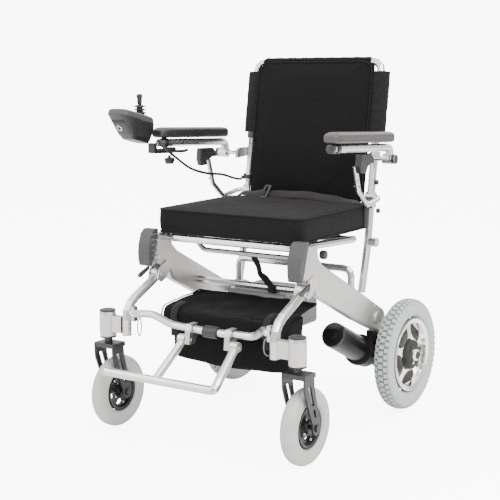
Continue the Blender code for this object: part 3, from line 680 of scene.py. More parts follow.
def screw(centre: Point, axis: Point, radius: float, height: float = 0.003) -> Solid:
    """A round screw head with a recess."""
    r, h = radius, height
    profile = [(0, -0.001), (r, -0.001), (r, h * 0.55), (r * 0.8, h), (r * 0.42, h),
               (r * 0.36, h * 0.35), (0, h * 0.35)]
    return lathe(profile, centre, axis, 20)


def puff(obj: bpy.types.Object, voxel: float, pressure: float, cap: float,
         held: Callable[[Vector], bool]) -> None:
    """Fill a cover with air so that it swells between its seams.

    Args:
        obj: closed piece, a little smaller than wanted.
        voxel: remesh size in metres.
        pressure: cloth pressure.
        cap: furthest that a point may move.
        held: says which points the seams hold.
    """
    remesh = obj.modifiers.new("even", "REMESH")
    remesh.mode = "VOXEL"
    remesh.voxel_size = voxel
    graph = bpy.context.evaluated_depsgraph_get()
    mesh = bpy.data.meshes.new_from_object(obj.evaluated_get(graph))
    obj.modifiers.clear()
    obj.data = mesh
    mesh.shade_smooth()
    start = [v.co.copy() for v in mesh.vertices]
    pins = obj.vertex_groups.new(name="seam")
    pins.add([i for i, p in enumerate(start) if held(p)], 1.0, "REPLACE")
    cloth = obj.modifiers.new("cloth", "CLOTH").settings
    cloth.use_pressure = True
    cloth.uniform_pressure_force = pressure
    cloth.vertex_group_mass = "seam"
    cloth.effector_weights.gravity = 0.0
    cloth.quality = CLOTH_QUALITY
    scene = bpy.context.scene
    for step in range(1, CLOTH_STEPS + 1):
        scene.frame_set(step)
    graph = bpy.context.evaluated_depsgraph_get()
    moved = obj.evaluated_get(graph).to_mesh()
    ends = [v.co.copy() for v in moved.vertices]
    obj.evaluated_get(graph).to_mesh_clear()
    obj.modifiers.clear()
    for vertex, old, new in zip(mesh.vertices, start, ends):
        shift = new - old
        if shift.length > cap:
            shift *= cap / shift.length
        vertex.co = old + shift
    scene.frame_set(1)
    smooth = obj.modifiers.new("smooth", "SUBSURF")
    smooth.levels = smooth.render_levels = 1


# --- wheels -------------------------------------------------------------------------------


@dataclass
class DriveWheel:
    """One rear wheel: treaded tyre, star rim with dark windows, and hub."""

    side: str
    sign: float
    radius: float = 0.159
    bead: float = 0.103
    half: float = 0.027
    centre_y: float = 0.255
    centre_x: float = 0.295
    tread: float = 0.0036
    power: float = 0.78
    blocks: int = 54
    block_share: float = 0.66

    @property
    def body(self) -> str:
        """The wheel's body."""
        return "rear_wheel_" + self.side

    def centre(self, out: float = 0.0) -> Vector:
        """Point on the axle, out from the wheel's middle."""
        return Vector((self.sign * (self.centre_x + out), self.centre_y, self.radius))

    def section(self, angle: float, grow: float = 0.0) -> Point:
        """(radius, across) of the carcass at an angle from its crown."""
        mid, tall = (self.radius + self.bead) / 2, (self.radius - self.bead) / 2 - self.tread
        c, s = math.cos(angle), math.sin(angle)
        return (mid + boxy(c, self.power) * (tall + grow),
                boxy(s, self.power) * (self.half - self.tread * 0.4 + grow * 0.4))

    def tyre(self) -> None:
        """Carcass with rows of tread blocks and shoulder lugs."""
        ring = [self.section(a) for a in turns(40)]
        solid = lathe(ring, self.centre(), (1, 0, 0), 96, True)
        lugs = Solid([], [])
        rows = ((-62, -46, 0.0), (-40, -15, 0.5), (-10, 10, 0.0), (15, 40, 0.5), (46, 62, 0.0))
        for low, high, shift in rows:
            for i in range(self.blocks):
                begin = (i + shift) / self.blocks
                end = begin + self.block_share / self.blocks
                lugs.join(self.lug(low, high, begin, end))
        tyre = make("drive_tyre_" + self.side, solid, "drive_carcass", self.body, 40)
        tread = make("drive_tread_" + self.side, lugs, "drive_tyre", self.body, 40)
        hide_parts("rear_tyre_" + self.side)

    def lug(self, low: float, high: float, begin: float, end: float) -> Solid:
        """One tread block between two section angles and two turns of the wheel."""
        rings = []
        for grow, trim in ((-0.001, 0.0), (self.tread * 0.98, 0.08)):
            edge = (high - low) * trim
            span = (end - begin) * trim
            corners = []
            for angle, turn in ((low + edge, begin + span), (high - edge, begin + span),
                                (high - edge, end - span), (low + edge, end - span)):
                r, x = self.section(math.radians(angle), grow)
                a = 2 * math.pi * turn
                corners.append(self.centre() + Vector((x, r * math.sin(a), r * math.cos(a))))
            rings.append(corners)
        return skin(rings)

    def rim(self) -> None:
        """Dark dish behind the windows, bead ring, bolts and the centre cap."""
        s, out = self.sign, (self.sign, 0, 0)
        dish = [(0.0, -0.004), (0.098, -0.004), (0.098, 0.000), (0.060, 0.004), (0.0, 0.004)]
        make("rim_dish_" + self.side, lathe(dish, self.centre(), out, 64), "rim_black",
             self.body)
        bead = [(0.1015, 0.0175), (0.1045, 0.0190), (0.1045, 0.0215), (0.1010, 0.0225),
                (0.0985, 0.0205)]
        make("rim_lip_" + self.side, lathe(bead, self.centre(), out, 96, True), "alloy",
             self.body)
        cap = [(0, 0.0375), (0.010, 0.0385), (0.0155, 0.0370), (0.0175, 0.0330),
               (0.0175, 0.0300), (0, 0.0300)]
        make("hub_cap_" + self.side, lathe(cap, self.centre(), out, 40), "alloy", self.body)
        bolts = Solid([], [])
        for step in turns(5):
            a = step + 0.3
            spot = self.centre(0.0365) + Vector((0, 0.029 * math.sin(a), 0.029 * math.cos(a)))
            bolts.join(screw(spot, out, 0.0042, 0.002))
        make("hub_bolts_" + self.side, bolts, "steel", self.body)
        valve = [(0, 0), (0.003, 0), (0.003, 0.016), (0.0018, 0.017), (0.0018, 0.022), (0, 0.022)]
        spot = self.centre(0.014) + Vector((0, 0.0, -0.099))
        make("tyre_valve_" + self.side, lathe(valve, spot, (s * 0.25, 0, 1), 14), "rubber",
             self.body)

    def build(self) -> None:
        """Build the wheel."""
        self.tyre()
        self.rim()


@dataclass
class Caster:
    """One front caster: grey tyre, dark rim with bolts, and its fork's fittings."""

    side: str
    sign: float
    radius: float = 0.0985
    half: float = 0.021
    bead: float = 0.054
    centre_x: float = 0.302
    centre_y: float = -0.308
    stem_y: float = -0.342
    groove: float = 0.0007
    grooves: tuple[int, ...] = (5, 10, 46, 51)

    def build(self) -> None:
        """Build the caster."""
        centre = Vector((self.sign * self.centre_x, self.centre_y, self.radius))
        mid, tall = (self.radius + self.bead) / 2, (self.radius - self.bead) / 2
        ring = []
        for i, a in enumerate(turns(56)):
            c, s = math.cos(a), math.sin(a)
            groove = self.groove if i in self.grooves else 0.0
            ring.append((mid + boxy(c, 0.85) * (tall - groove),
                         boxy(s, 0.85) * (self.half - groove)))
        body = "caster_wheel_" + self.side
        tyre = make("caster_tread_" + self.side, lathe(ring, centre, (1, 0, 0), 96, True),
                    "caster_tyre", body, 50)
        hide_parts("caster_tyre_" + self.side)
        bolts = Solid([], [])
        for face in (1, -1):
            for i in range(5):
                a = 2 * math.pi * (i + 0.5) / 5
                spot = centre + Vector((face * 0.0145, 0.031 * math.sin(a), 0.031 * math.cos(a)))
                bolts.join(screw(spot, (face, 0, 0), 0.0034, 0.0024))
        make("caster_bolts_" + self.side, bolts, "steel", body)
        fork = "caster_fork_" + self.side
        caps = Solid([], [])
        for face in (1, -1):
            caps.join(screw(centre + Vector((face * 0.0355, 0, 0)), (face, 0, 0), 0.0062, 0.0022))
        make("fork_axle_caps_" + self.side, caps, "dark_steel", fork)
        stem = Vector((self.sign * self.centre_x, self.stem_y, 0.0))
        collar = [(0.0, 0.2565), (0.0225, 0.2565), (0.0230, 0.2578), (0.0, 0.2578)]
        make("fork_collar_" + self.side, lathe(collar, stem, (0, 0, 1), 40), "plastic", fork)
        cap = [(0.0, 0.3350), (0.0130, 0.3350), (0.0185, 0.3338), (0.0222, 0.3322),
               (0.0222, 0.3300), (0.0, 0.3300)]
        make("housing_cap_" + self.side, lathe(cap, stem, (0, 0, 1), 48), "plastic",
             "front_frame")


# --- seat ---------------------------------------------------------------------------------


@dataclass
class Seat:
    """Boxed cushion with piped seams, lap belt and buckle."""

    half_x: float = 0.2310
    front: float = -0.2125
    rear: float = 0.1545
    low: float = 0.5300
    seam_low: float = 0.5340
    seam_top: float = 0.5950
    corner: float = 0.024
    crown_y: float = -0.0255
    crown_half: float = 0.18
    strap_width: float = 0.026
    strap_thick: float = 0.0022

    def outline(self, inset: float, z: float) -> list[Vector]:
        """Ring round the cushion, set in from its sides."""
        mid, half = (self.front + self.rear) / 2, (self.rear - self.front) / 2
        return [Vector((x, mid + y, z)) for x, y in rounded(
            self.half_x - inset, half - inset, self.corner - inset * 0.4, 8)]

    def on_seam(self, point: Vector) -> bool:
        """Whether a seam or the frame below holds this point."""
        if point.z < self.seam_low + 0.001:
            return True
        if abs(point.z - self.seam_top) > 0.0045:
            return False
        mid, half = (self.front + self.rear) / 2, (self.rear - self.front) / 2
        edge = max(abs(point.x) - self.half_x, abs(point.y - mid) - half)
        return edge > -0.009

    def cushion(self) -> bpy.types.Object:
        """The cushion, swollen between its seams."""
        levels = ((0.012, self.low), (0.003, self.seam_low - 0.002), (0.0025, self.seam_low),
                  (0.0015, 0.548), (0.0010, 0.561), (0.0015, 0.574), (0.0025, self.seam_top),
                  (0.0050, self.seam_top + 0.0022), (0.020, self.seam_top + 0.0035))
        solid = skin([self.outline(i, z) for i, z in levels])
        pad = make("cushion", solid, "cushion", "chassis")
        puff(pad, 0.005, 4.0, 0.010, self.on_seam)
        for vertex in pad.data.vertices:
            p = vertex.co
            if p.z > self.seam_top - 0.002:
                inside = max(0.0, (1 - (p.x / self.half_x) ** 4)
                             * (1 - ((p.y - self.crown_y) / self.crown_half) ** 4))
                rear = 0.0015 + 0.003 * (p.y + 0.2) / 0.35
                dimple = 0.0012 * noise.noise(p * 18) + 0.0006 * noise.noise(p * 45)
                p.z += inside * (rear + dimple)
            elif p.z > self.seam_low + 0.002:
                swell = math.sin(math.pi * (p.z - self.seam_low)
                                 / (self.seam_top - self.seam_low))
                wave = 1.0 + 0.5 * noise.noise(p * 14)
                out = Vector((p.x / self.half_x, (p.y - self.crown_y) / self.crown_half, 0))
                p.x += math.copysign(0.0012 * swell * wave, p.x) * (abs(out.x) > 0.9)
                p.y += math.copysign(0.0012 * swell * wave, out.y) * (abs(out.y) > 0.9)
            p.z = max(p.z, self.low)
        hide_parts("seat_cushion")
        return pad

    def piping(self) -> None:
        """Cord sewn into the top and bottom seams, and the zip along the rear."""
        for name, z in (("top", self.seam_top + 0.0006), ("low", self.seam_low)):
            ring = self.outline(0.0014, z)
            cord = make("cushion_piping_" + name, sweep(ring, disc(0.0021, 8), True),
                        "piping", "chassis")
        zip_line = [Vector((x, self.rear + 0.0012, 0.5600)) for x in (-0.15, 0, 0.15)]
        zipper = sweep(zip_line, flat(0.011, 0.0022), normals=[Vector((0, 1, 0))] * 3)
        make("cushion_zip", zipper, "strap", "chassis")

    def belt(self, pad: bpy.types.Object) -> None:
        """Lap belt that lies along the rear of the cushion and down its left side."""
        graph = bpy.context.evaluated_depsgraph_get()
        tree = BVHTree.FromObject(pad, graph)

        def top(x: float, y: float) -> float:
            """Height of the cushion below a point."""
            hit = tree.ray_cast(Vector((x, y, 0.7)), Vector((0, 0, -1)))[0]
            return hit.z if hit else 0.5915

        nodes, lean = [], []
        for x, y, lift, tilt in (
            (-0.160, 0.134, 0.005, 0.25), (-0.120, 0.132, 0.008, 0.55),
            (-0.080, 0.138, 0.010, 0.75), (-0.030, 0.142, 0.012, 0.85),
            (0.020, 0.142, 0.013, 0.90), (0.070, 0.140, 0.011, 0.8),
            (0.120, 0.134, 0.008, 0.60), (0.160, 0.131, 0.005, 0.40),
            (0.190, 0.130, 0.003, 0.2),
        ):
            nodes.append(Vector((x, y, top(x, y) + lift)))
            lean.append(tilt)
        path = spline(nodes, 49)
        normals = []
        for i in range(49):
            t = i / 48 * (len(lean) - 1)
            k = min(int(t), len(lean) - 2)
            a = lean[k] + (lean[k + 1] - lean[k]) * (t - k) + 0.12 * math.sin(i * 0.55)
            normals.append(Vector((0, -math.sin(a), math.cos(a))))
        down = [Vector((x, 0.130, z)) for x, z in (
            (0.2080, 0.6010), (0.2230, 0.5995), (0.2318, 0.5940), (0.2338, 0.5820),
            (0.2338, 0.5600), (0.2330, 0.5380))]
        path += down
        normals += [Vector((0.1, 0, 1)), Vector((0.35, 0, 0.93)), Vector((0.8, 0, 0.6)),
                    Vector((1, 0, 0.1)), Vector((1, 0, 0)), Vector((1, 0, 0))]
        webbing = flat(self.strap_width, self.strap_thick)
        strap = make("lap_belt", sweep(path, webbing, normals=normals), "belt", "chassis", 60)
        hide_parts("seat_belt")
        tail = spline([(-0.186, 0.118, top(-0.186, 0.118) + 0.003),
                       (-0.165, 0.122, top(-0.165, 0.122) + 0.010),
                       (-0.135, 0.118, top(-0.135, 0.118) + 0.007),
                       (-0.095, 0.122, top(-0.095, 0.122) + 0.014)], 21)
        twist = [Vector((0.1, -math.sin(0.15 + i * 0.035), math.cos(0.15 + i * 0.035)))
                 for i in range(21)]
        end = make("belt_tail", sweep(tail, webbing, normals=twist), "belt", "chassis", 60)
        spot = Vector((-0.105, 0.128, top(-0.105, 0.128) + 0.0145))
        slide = block((0.007, 0.046, 0.006), spot, 0.0015, 42)
        slide.join(block((0.007, 0.046, 0.006), spot + Vector((0.016, 0.001, 0.001)), 0.0015, 45))
        slide.join(block((0.021, 0.006, 0.006), spot + Vector((0.008, -0.016, -0.013)), 0.0015, 45))
        slide.join(block((0.021, 0.006, 0.006), spot + Vector((0.008, 0.016, 0.016)), 0.0015, 45))
        buckle = make("belt_buckle", slide, "plastic", "chassis")
        for piece in (strap, end, buckle):
            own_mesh(piece)

    def build(self) -> None:
        """Build the seat."""
        pad = self.cushion()
        self.piping()
        self.belt(pad)


# --- backrest -----------------------------------------------------------------------------


@dataclass
class Backrest:
    """Back cover over the top tube, front pad, side sleeves and bands."""

    foot: Point = (0.203, 0.612)
    head: Point = (0.265, 0.986)
    post_x: float = 0.208
    tube_up: float = 0.379
    pad_half: float = 0.191

    def at(self, x: float, up: float, off: float) -> Vector:
        """Point x across, up along the posts and off behind them."""
        dy, dz = self.head[0] - self.foot[0], self.head[1] - self.foot[1]
        size = math.hypot(dy, dz)
        dy, dz = dy / size, dz / size
        return Vector((x, self.foot[0] + dy * up + dz * off, self.foot[1] + dz * up - dy * off))

    def cover(self) -> None:
        """Sling that closes over the top tube and hangs down behind the pad."""
        wrap = 0.0140
        rings = []
        count = 29
        for i in range(count):
            x = -0.188 + 0.372 * i / (count - 1)
            ring = []
            for up in (-0.030, 0.05, 0.15, 0.25, 0.33, 0.365):
                ring.append(self.at(x, up, -0.0085))
            for k in range(9):
                a = math.pi * k / 8
                pucker = 0.0007 * math.sin(i * 1.9)
                ring.append(self.at(x, self.tube_up + (wrap + pucker) * math.sin(a),
                                    -wrap * math.cos(a)))
            for up in (0.33, 0.25, 0.15, 0.05, -0.030):
                sag = 0.006 * math.sin(math.pi * (up + 0.03) / 0.40) * (1 - (x / 0.171) ** 2)
                ring.append(self.at(x, up, 0.0135 + sag + 0.0015 * noise.noise(
                    Vector((x, up, 0)) * 20)))
            rings.append(ring)
        sling = make("back_sling", skin(rings), "back", "backrest", 50, 1)
        line = [self.at(0.002 + x / 20 * 0.181, self.tube_up + 0.004, -0.0142)
                for x in range(-20, 21)]
        hem = make("back_sling_hem", sweep(line, disc(0.0011, 6)), "piping", "backrest")

    def pad(self) -> None:
        """Front pad, swollen between its piped edges."""
        low, high = -0.034, 0.377
        mid, half = (low + high) / 2, (high - low) / 2
        outline = rounded(self.pad_half - 0.001, half, 0.030, 8)
        rings = []
        for inset, off in ((0.010, -0.0075), (0.001, -0.0090), (0.0, -0.0150), (0.001, -0.0210),
                           (0.010, -0.0240), (0.040, -0.0255)):
            scale_x = (self.pad_half - inset) / self.pad_half
            scale_y = (half - inset) / half
            rings.append([self.at(x * scale_x, mid + y * scale_y, off) for x, y in outline])
        pad = make("back_pad", skin(rings), "back", "backrest")
        rear = self.at(0, 0, -0.0150)
        face = (self.at(0, 0, 1.0) - self.at(0, 0, 0)).normalized()

        def held(point: Vector) -> bool:
            """Whether the edge seam or the sling behind holds this point."""
            return (point - rear).dot(face) > -0.0035

        puff(pad, 0.006, 4.0, 0.008, held)
        for vertex in pad.data.vertices:
            p = vertex.co
            depth = max(0.0, -(p - rear).dot(face) - 0.004) / 0.010
            crease = 0.0025 * noise.noise(Vector((p.x * 5, p.z * 16, 1.0)))
            low_fold = 0.003 * math.exp(-((p.z - 0.66) / 0.03) ** 2) * noise.noise(p * 9)
            vertex.co = p + face * (crease + low_fold) * min(1.0, depth)
        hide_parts("back_cover")
        for name, off in (("front", -0.0218), ("rear", -0.0095)):
            ring = [self.at(x * 0.998, mid + y * 0.998, off) for x, y in outline]
            cord = make("back_piping_" + name, sweep(ring, disc(0.0019, 8), True), "piping",
                        "backrest")

    def sleeves(self) -> None:
        """Mesh sleeves closed round the posts, with a seam, a hem and a clamp band."""
        for side, sign in SIDES:
            rings = []
            for k in range(25):
                up = 0.172 + (0.350 - 0.172) * k / 24
                ring = []
                for a in turns(32):
                    c, s = math.cos(a), math.sin(a)
                    wide = 0.0290 + 0.0012 * noise.noise(Vector((c * 2, k * 0.3, sign)))
                    x = self.post_x - 0.002 + boxy(c, 0.8) * wide
                    off = boxy(s, 0.8) * (0.0150 if s > 0 else 0.0165)
                    ring.append(self.at(sign * x, up, off + 0.0008 * noise.noise(
                        Vector((c * 3, s * 3, k * 0.4)))))
                rings.append(ring)
            sleeve = make("back_sleeve_" + side, skin(rings), "side", "backrest", 50)
            for name, up in (("hem_low", 0.1735), ("hem_top", 0.3485)):
                ring = [self.at(sign * (self.post_x - 0.002 + 0.0295 * math.cos(a)), up,
                                0.0160 * math.sin(a))
                        for a in turns(40)]
                cord = make(f"sleeve_{name}_{side}", sweep(ring, disc(0.0013, 6), True),
                            "piping", "backrest")
            along = self.at(0, 1, 0) - self.at(0, 0, 0)
            band = [(0.0112, -0.0120), (0.0148, -0.0118), (0.0152, -0.0100), (0.0152, 0.0100),
                    (0.0148, 0.0118), (0.0112, 0.0120)]
            spot = self.at(sign * self.post_x, 0.165, 0)
            make("post_band_" + side, lathe(band, spot, along, 32, True), "bumper", "backrest")
            knob = [(0, -0.001), (0.0068, -0.001), (0.0074, 0.004), (0.0060, 0.0068), (0, 0.007)]
            for name, z, body in (("low", 0.575, "chassis"), ("top", 0.652, "backrest")):
                x = 0.2195 if body == "backrest" else 0.2350
                y = self.foot[0] + (z - self.foot[1]) * 0.166 if body == "backrest" else 0.190
                make(f"post_knob_{name}_{side}", lathe(knob, (sign * x, y, z), (sign, 0, 0), 20),
                     "plastic", body)

    def build(self) -> None:
        """Build the backrest."""
        self.cover()
        self.pad()
        self.sleeves()


# --- bag and battery ----------------------------------------------------------------------


@dataclass
class Bag:
    """Cloth bag slung under the seat, its flap, straps and the battery's strap."""

    left: float = -0.203
    right: float = 0.187
    half_x: float = 0.190
    half_y: float = 0.062

    def sack(self) -> None:
        """The hanging body, sagging between its corners."""
        rings = []
        levels = 22
        for k in range(levels):
            t = k / (levels - 1)
            z = 0.178 + t * 0.147
            fat = 0.86 + 0.14 * math.sin(math.pi * min(1.0, t * 1.25 + 0.12)) if t < 0.75 else 0.97
            close = min(1.0, 0.80 + 5 * t) if t < 0.05 else 1.0
            ring = []
            for a in turns(72):
                c, s = math.cos(a), math.sin(a)
                x = boxy(c, 0.42) * self.half_x * close
                y = boxy(s, 0.42) * self.half_y * fat * close
                drape = 0.005 * noise.noise(Vector((x * 16, s, z * 7)))
                drape += 0.003 * math.sin(x * 60 + 3 * z) * (1 - t)
                droop = 0.006 * math.cos(x / 0.19 * math.pi) * (1 - t)
                ring.append(Vector((x - 0.008, y - 0.152 + math.copysign(drape, s) * 0.7,
                                    z - max(0.0, droop) * (t < 0.9) + 0.003)))
            rings.append(ring)
        sack = make("bag_body", skin(rings), "bag", "chassis", 60, 1)
        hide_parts("under_seat_bag")

    def profile(self) -> list[Point]:
        """(y, z) line of the flap from its rear edge, over the top and down in front."""
        line = spline([(0, -0.058, 0.3500), (0, -0.090, 0.3460), (0, -0.150, 0.3400),
                       (0, -0.200, 0.3350), (0, -0.224, 0.3290), (0, -0.2325, 0.3160),
                       (0, -0.2335, 0.3010), (0, -0.2330, 0.2860)], 37)
        return [(p.y, p.z) for p in line]

    def flap(self) -> None:
        """The top flap, a sheet that hangs over the front."""
        line = self.profile()
        count = 45
        top, under = [], []
        for i in range(count):
            u = i / (count - 1)
            x = self.left + (self.right - self.left) * u
            edge = 1 - (2 * u - 1) ** 4
            row_top, row_under = [], []
            for k, (y, z) in enumerate(line):
                v = k / (len(line) - 1)
                sag = 0.010 * edge * math.sin(math.pi * min(1.0, v * 1.5)) * (v < 0.67)
                rough = 0.004 * noise.noise(Vector((x * 12, y * 22, 4.0)))
                rough += 0.0025 * noise.noise(Vector((x * 30, y * 12, 9.0)))
                flat_top = v < 0.6
                p = Vector((x, y + (0 if flat_top else rough * 0.35),
                            z - sag + (rough if flat_top else 0)))
                row_top.append(p)
                nxt = line[min(k + 1, len(line) - 1)]
                prv = line[max(k - 1, 0)]
                n = Vector((0, -(nxt[1] - prv[1]), nxt[0] - prv[0])).normalized()
                if n.z > 0:
                    n = -n
                if not flat_top:
                    n = Vector((0, abs(n.y), min(n.z, 0))).normalized()
                row_under.append(p + n * 0.0018)
            top.append(row_top)
            under.append(row_under)
        rings = [a + list(reversed(b)) for a, b in zip(top, under)]
        flap = make("bag_flap", skin(rings), "bag", "chassis", 60, 1)
        rim = [r[0] for r in top] + top[-1][1:] + [r[-1] for r in reversed(top[:-1])]
        rim += list(reversed(top[0][1:-1]))
        binding = make("bag_flap_binding", sweep(rim, disc(0.0021, 8), True), "piping",
                       "chassis")

    def straps(self) -> None:
        """Webbing that carries the bag, and the strap down to the battery."""
        for side, sign in SIDES:
            x = -0.008 + sign * 0.150
            path = spline([(x, -0.2360, 0.255), (x, -0.2368, 0.290), (x, -0.2362, 0.318),
                           (x, -0.222, 0.336), (x, -0.190, 0.342)], 17)
            normals = [Vector((0, -1, 0.15))] * 9 + [Vector((0, -0.7, 0.7))] * 4
            normals += [Vector((0, -0.1, 1))] * 4
            make("bag_strap_" + side, sweep(path, flat(0.022, 0.0020), normals=normals),
                 "strap", "chassis", 60)
        path = spline([(0.012, -0.096, 0.4660), (0.014, -0.080, 0.4400), (0.010, -0.062, 0.4150),
                       (0.020, -0.050, 0.3980), (0.032, -0.0455, 0.3780), (0.030, -0.0440, 0.3640),
                       (0.030, -0.0300, 0.3605), (0.030, 0.020, 0.3600), (0.030, 0.060, 0.3598)], 41)
        normals = [Vector((0, -1, 0.3))] * 27 + [Vector((0, -0.2, 1))] * 14
        make("battery_strap", sweep(path, flat(0.020, 0.0018), normals=normals), "strap",
             "chassis", 60)

    def battery(self) -> None:
        """Lid line, latch and handle of the battery box."""
        lid = [Vector((x - 0.018, y + 0.040, 0.3330)) for x, y in rounded(0.1004, 0.0854, 0.010, 5)]
        make("battery_lid_seam", sweep(lid, disc(0.0011, 6), True), "plastic", "chassis")
        latch = block((0.040, 0.006, 0.020), (-0.018, -0.0465, 0.333), 0.002)
        make("battery_latch", latch, "plastic", "chassis")
        grip = spline([(-0.045, 0.02, 0.3590), (-0.044, 0.02, 0.3640), (-0.034, 0.02, 0.3685),
                       (0.000, 0.02, 0.3690), (0.012, 0.02, 0.3685), (0.018, 0.02, 0.3640),
                       (0.018, 0.02, 0.3590)], 25)
        make("battery_handle", sweep(grip, disc(0.0042, 10)), "plastic", "chassis")

    def build(self) -> None:
        """Build the bag and the battery's trim."""
        self.sack()
        self.flap()
        self.straps()
        self.battery()


# --- arms ---------------------------------------------------------------------------------


@dataclass
class Armrest:
    """Pad, clamps, plug and spring buttons of one armrest."""

    side: str
    sign: float
    x: float = 0.276
    front: float = -0.1455
    rear: float = 0.1715
    slope: float = -0.0507

    def level(self, y: float) -> float:
        """Height of the pad's middle line."""
        return 0.7907 + (y - 0.013) * self.slope

    def pad(self) -> None:
        """Grained foam pad with a rounded, drooping nose."""
        rings = []
        steps = 40
        for k in range(steps + 1):
            t = k / steps
            ease = 0.5 - 0.5 * math.cos(math.pi * t)
            y = self.front + (self.rear - self.front) * ease
            nose = min(1.0, (y - self.front) / 0.030)
            heel = min(1.0, (self.rear - y) / 0.014)
            grow = math.sqrt(max(0.0, 1 - (1 - nose) ** 2)) * 0.72 + 0.28
            grow *= math.sqrt(max(0.0, 1 - (1 - heel) ** 2)) * 0.45 + 0.55
            waist = 1.0 - 0.05 * math.sin(math.pi * min(1.0, t * 1.1))
            wide = 0.0250 * waist * (0.35 + 0.65 * grow)
            top, base = 0.0150 * grow, -0.0148
            drop = -0.0020 * (1 - nose)
            ring = []
            for a in turns(28):
                c, s = math.cos(a), math.sin(a)
                tall = top if s > 0 else -base * (0.4 + 0.6 * grow)
                z = tall * boxy(s, 0.62 if s > 0 else 0.4)
                across = boxy(c, 0.55) * wide
                ring.append(Vector((self.sign * self.x + across, y, self.level(y) + z + drop)))
            rings.append(ring)
        # The left pad takes the lighter copy of the black foam, a painted highlight; the right pad
        # has the foam's own black.
        key = "pad_left" if self.side == "left" else "pad_right"
        pad = make("arm_pad_" + self.side, skin(rings), key, "armrest_" + self.side, 60, 1)
        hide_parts("armrest_pad_" + self.side)
        seam = []
        for i in range(61):
            y = self.front + 0.010 + (self.rear - self.front - 0.020) * i / 60
            seam.append(Vector((self.sign * (self.x + 0.0243), y, self.level(y) - 0.0075)))
        line = make("arm_pad_seam_" + self.side, sweep(seam, disc(0.0008, 6)), "rubber",
                    "armrest_" + self.side)

    def fittings(self) -> None:
        """Saddle under the pad, end plug, the strut's spring buttons and the pivot knob."""
        body = "armrest_" + self.side
        y = -0.112
        z = 0.7600 + 0.0100 - (y + 0.137) * 0.0507
        ring = [(0.0114, -0.008), (0.0134, -0.0075), (0.0134, 0.0075), (0.0114, 0.008)]
        saddle = lathe(ring, (self.sign * self.x, y, z), (0, 1, self.slope), 28, True)
        make("pad_saddles_" + self.side, saddle, "plastic", body)
        if self.side == "left":
            plug = [(0, -0.0075), (0.0090, -0.0072), (0.0122, -0.0050), (0.0122, 0.0050),
                    (0.0, 0.0050)]
            make("arm_plug_left", lathe(plug, (self.x, -0.1372, 0.7700), (0, 1, 0), 28),
                 "plastic", body)
        dots = Solid([], [])
        for y, z, face in ((0.060, 0.655, 1), (0.053, 0.672, 1), (0.060, 0.655, -1)):
            dome = [(0, -0.001), (0.0030, -0.001), (0.0026, 0.0012), (0.0012, 0.0022), (0, 0.0024)]
            spot = (self.sign * 0.242 + face * 0.0068, y, z)
            dots.join(lathe(dome, spot, (face, 0, 0), 14))
        make("strut_buttons_" + self.side, dots, "dark_steel", "backrest")
        cap = [(0, 0.0), (0.0080, 0.0), (0.0120, 0.0015), (0.0132, 0.0040), (0.0132, 0.0115),
               (0.0118, 0.0128), (0, 0.0130)]
        spot = (self.sign * 0.2868, 0.175, 0.722)
        make("pivot_knob_" + self.side, lathe(cap, spot, (self.sign, 0, 0), 28), "plastic",
             "backrest")

    def build(self) -> None:
        """Build the armrest's visible parts."""
        self.pad()
        self.fittings()


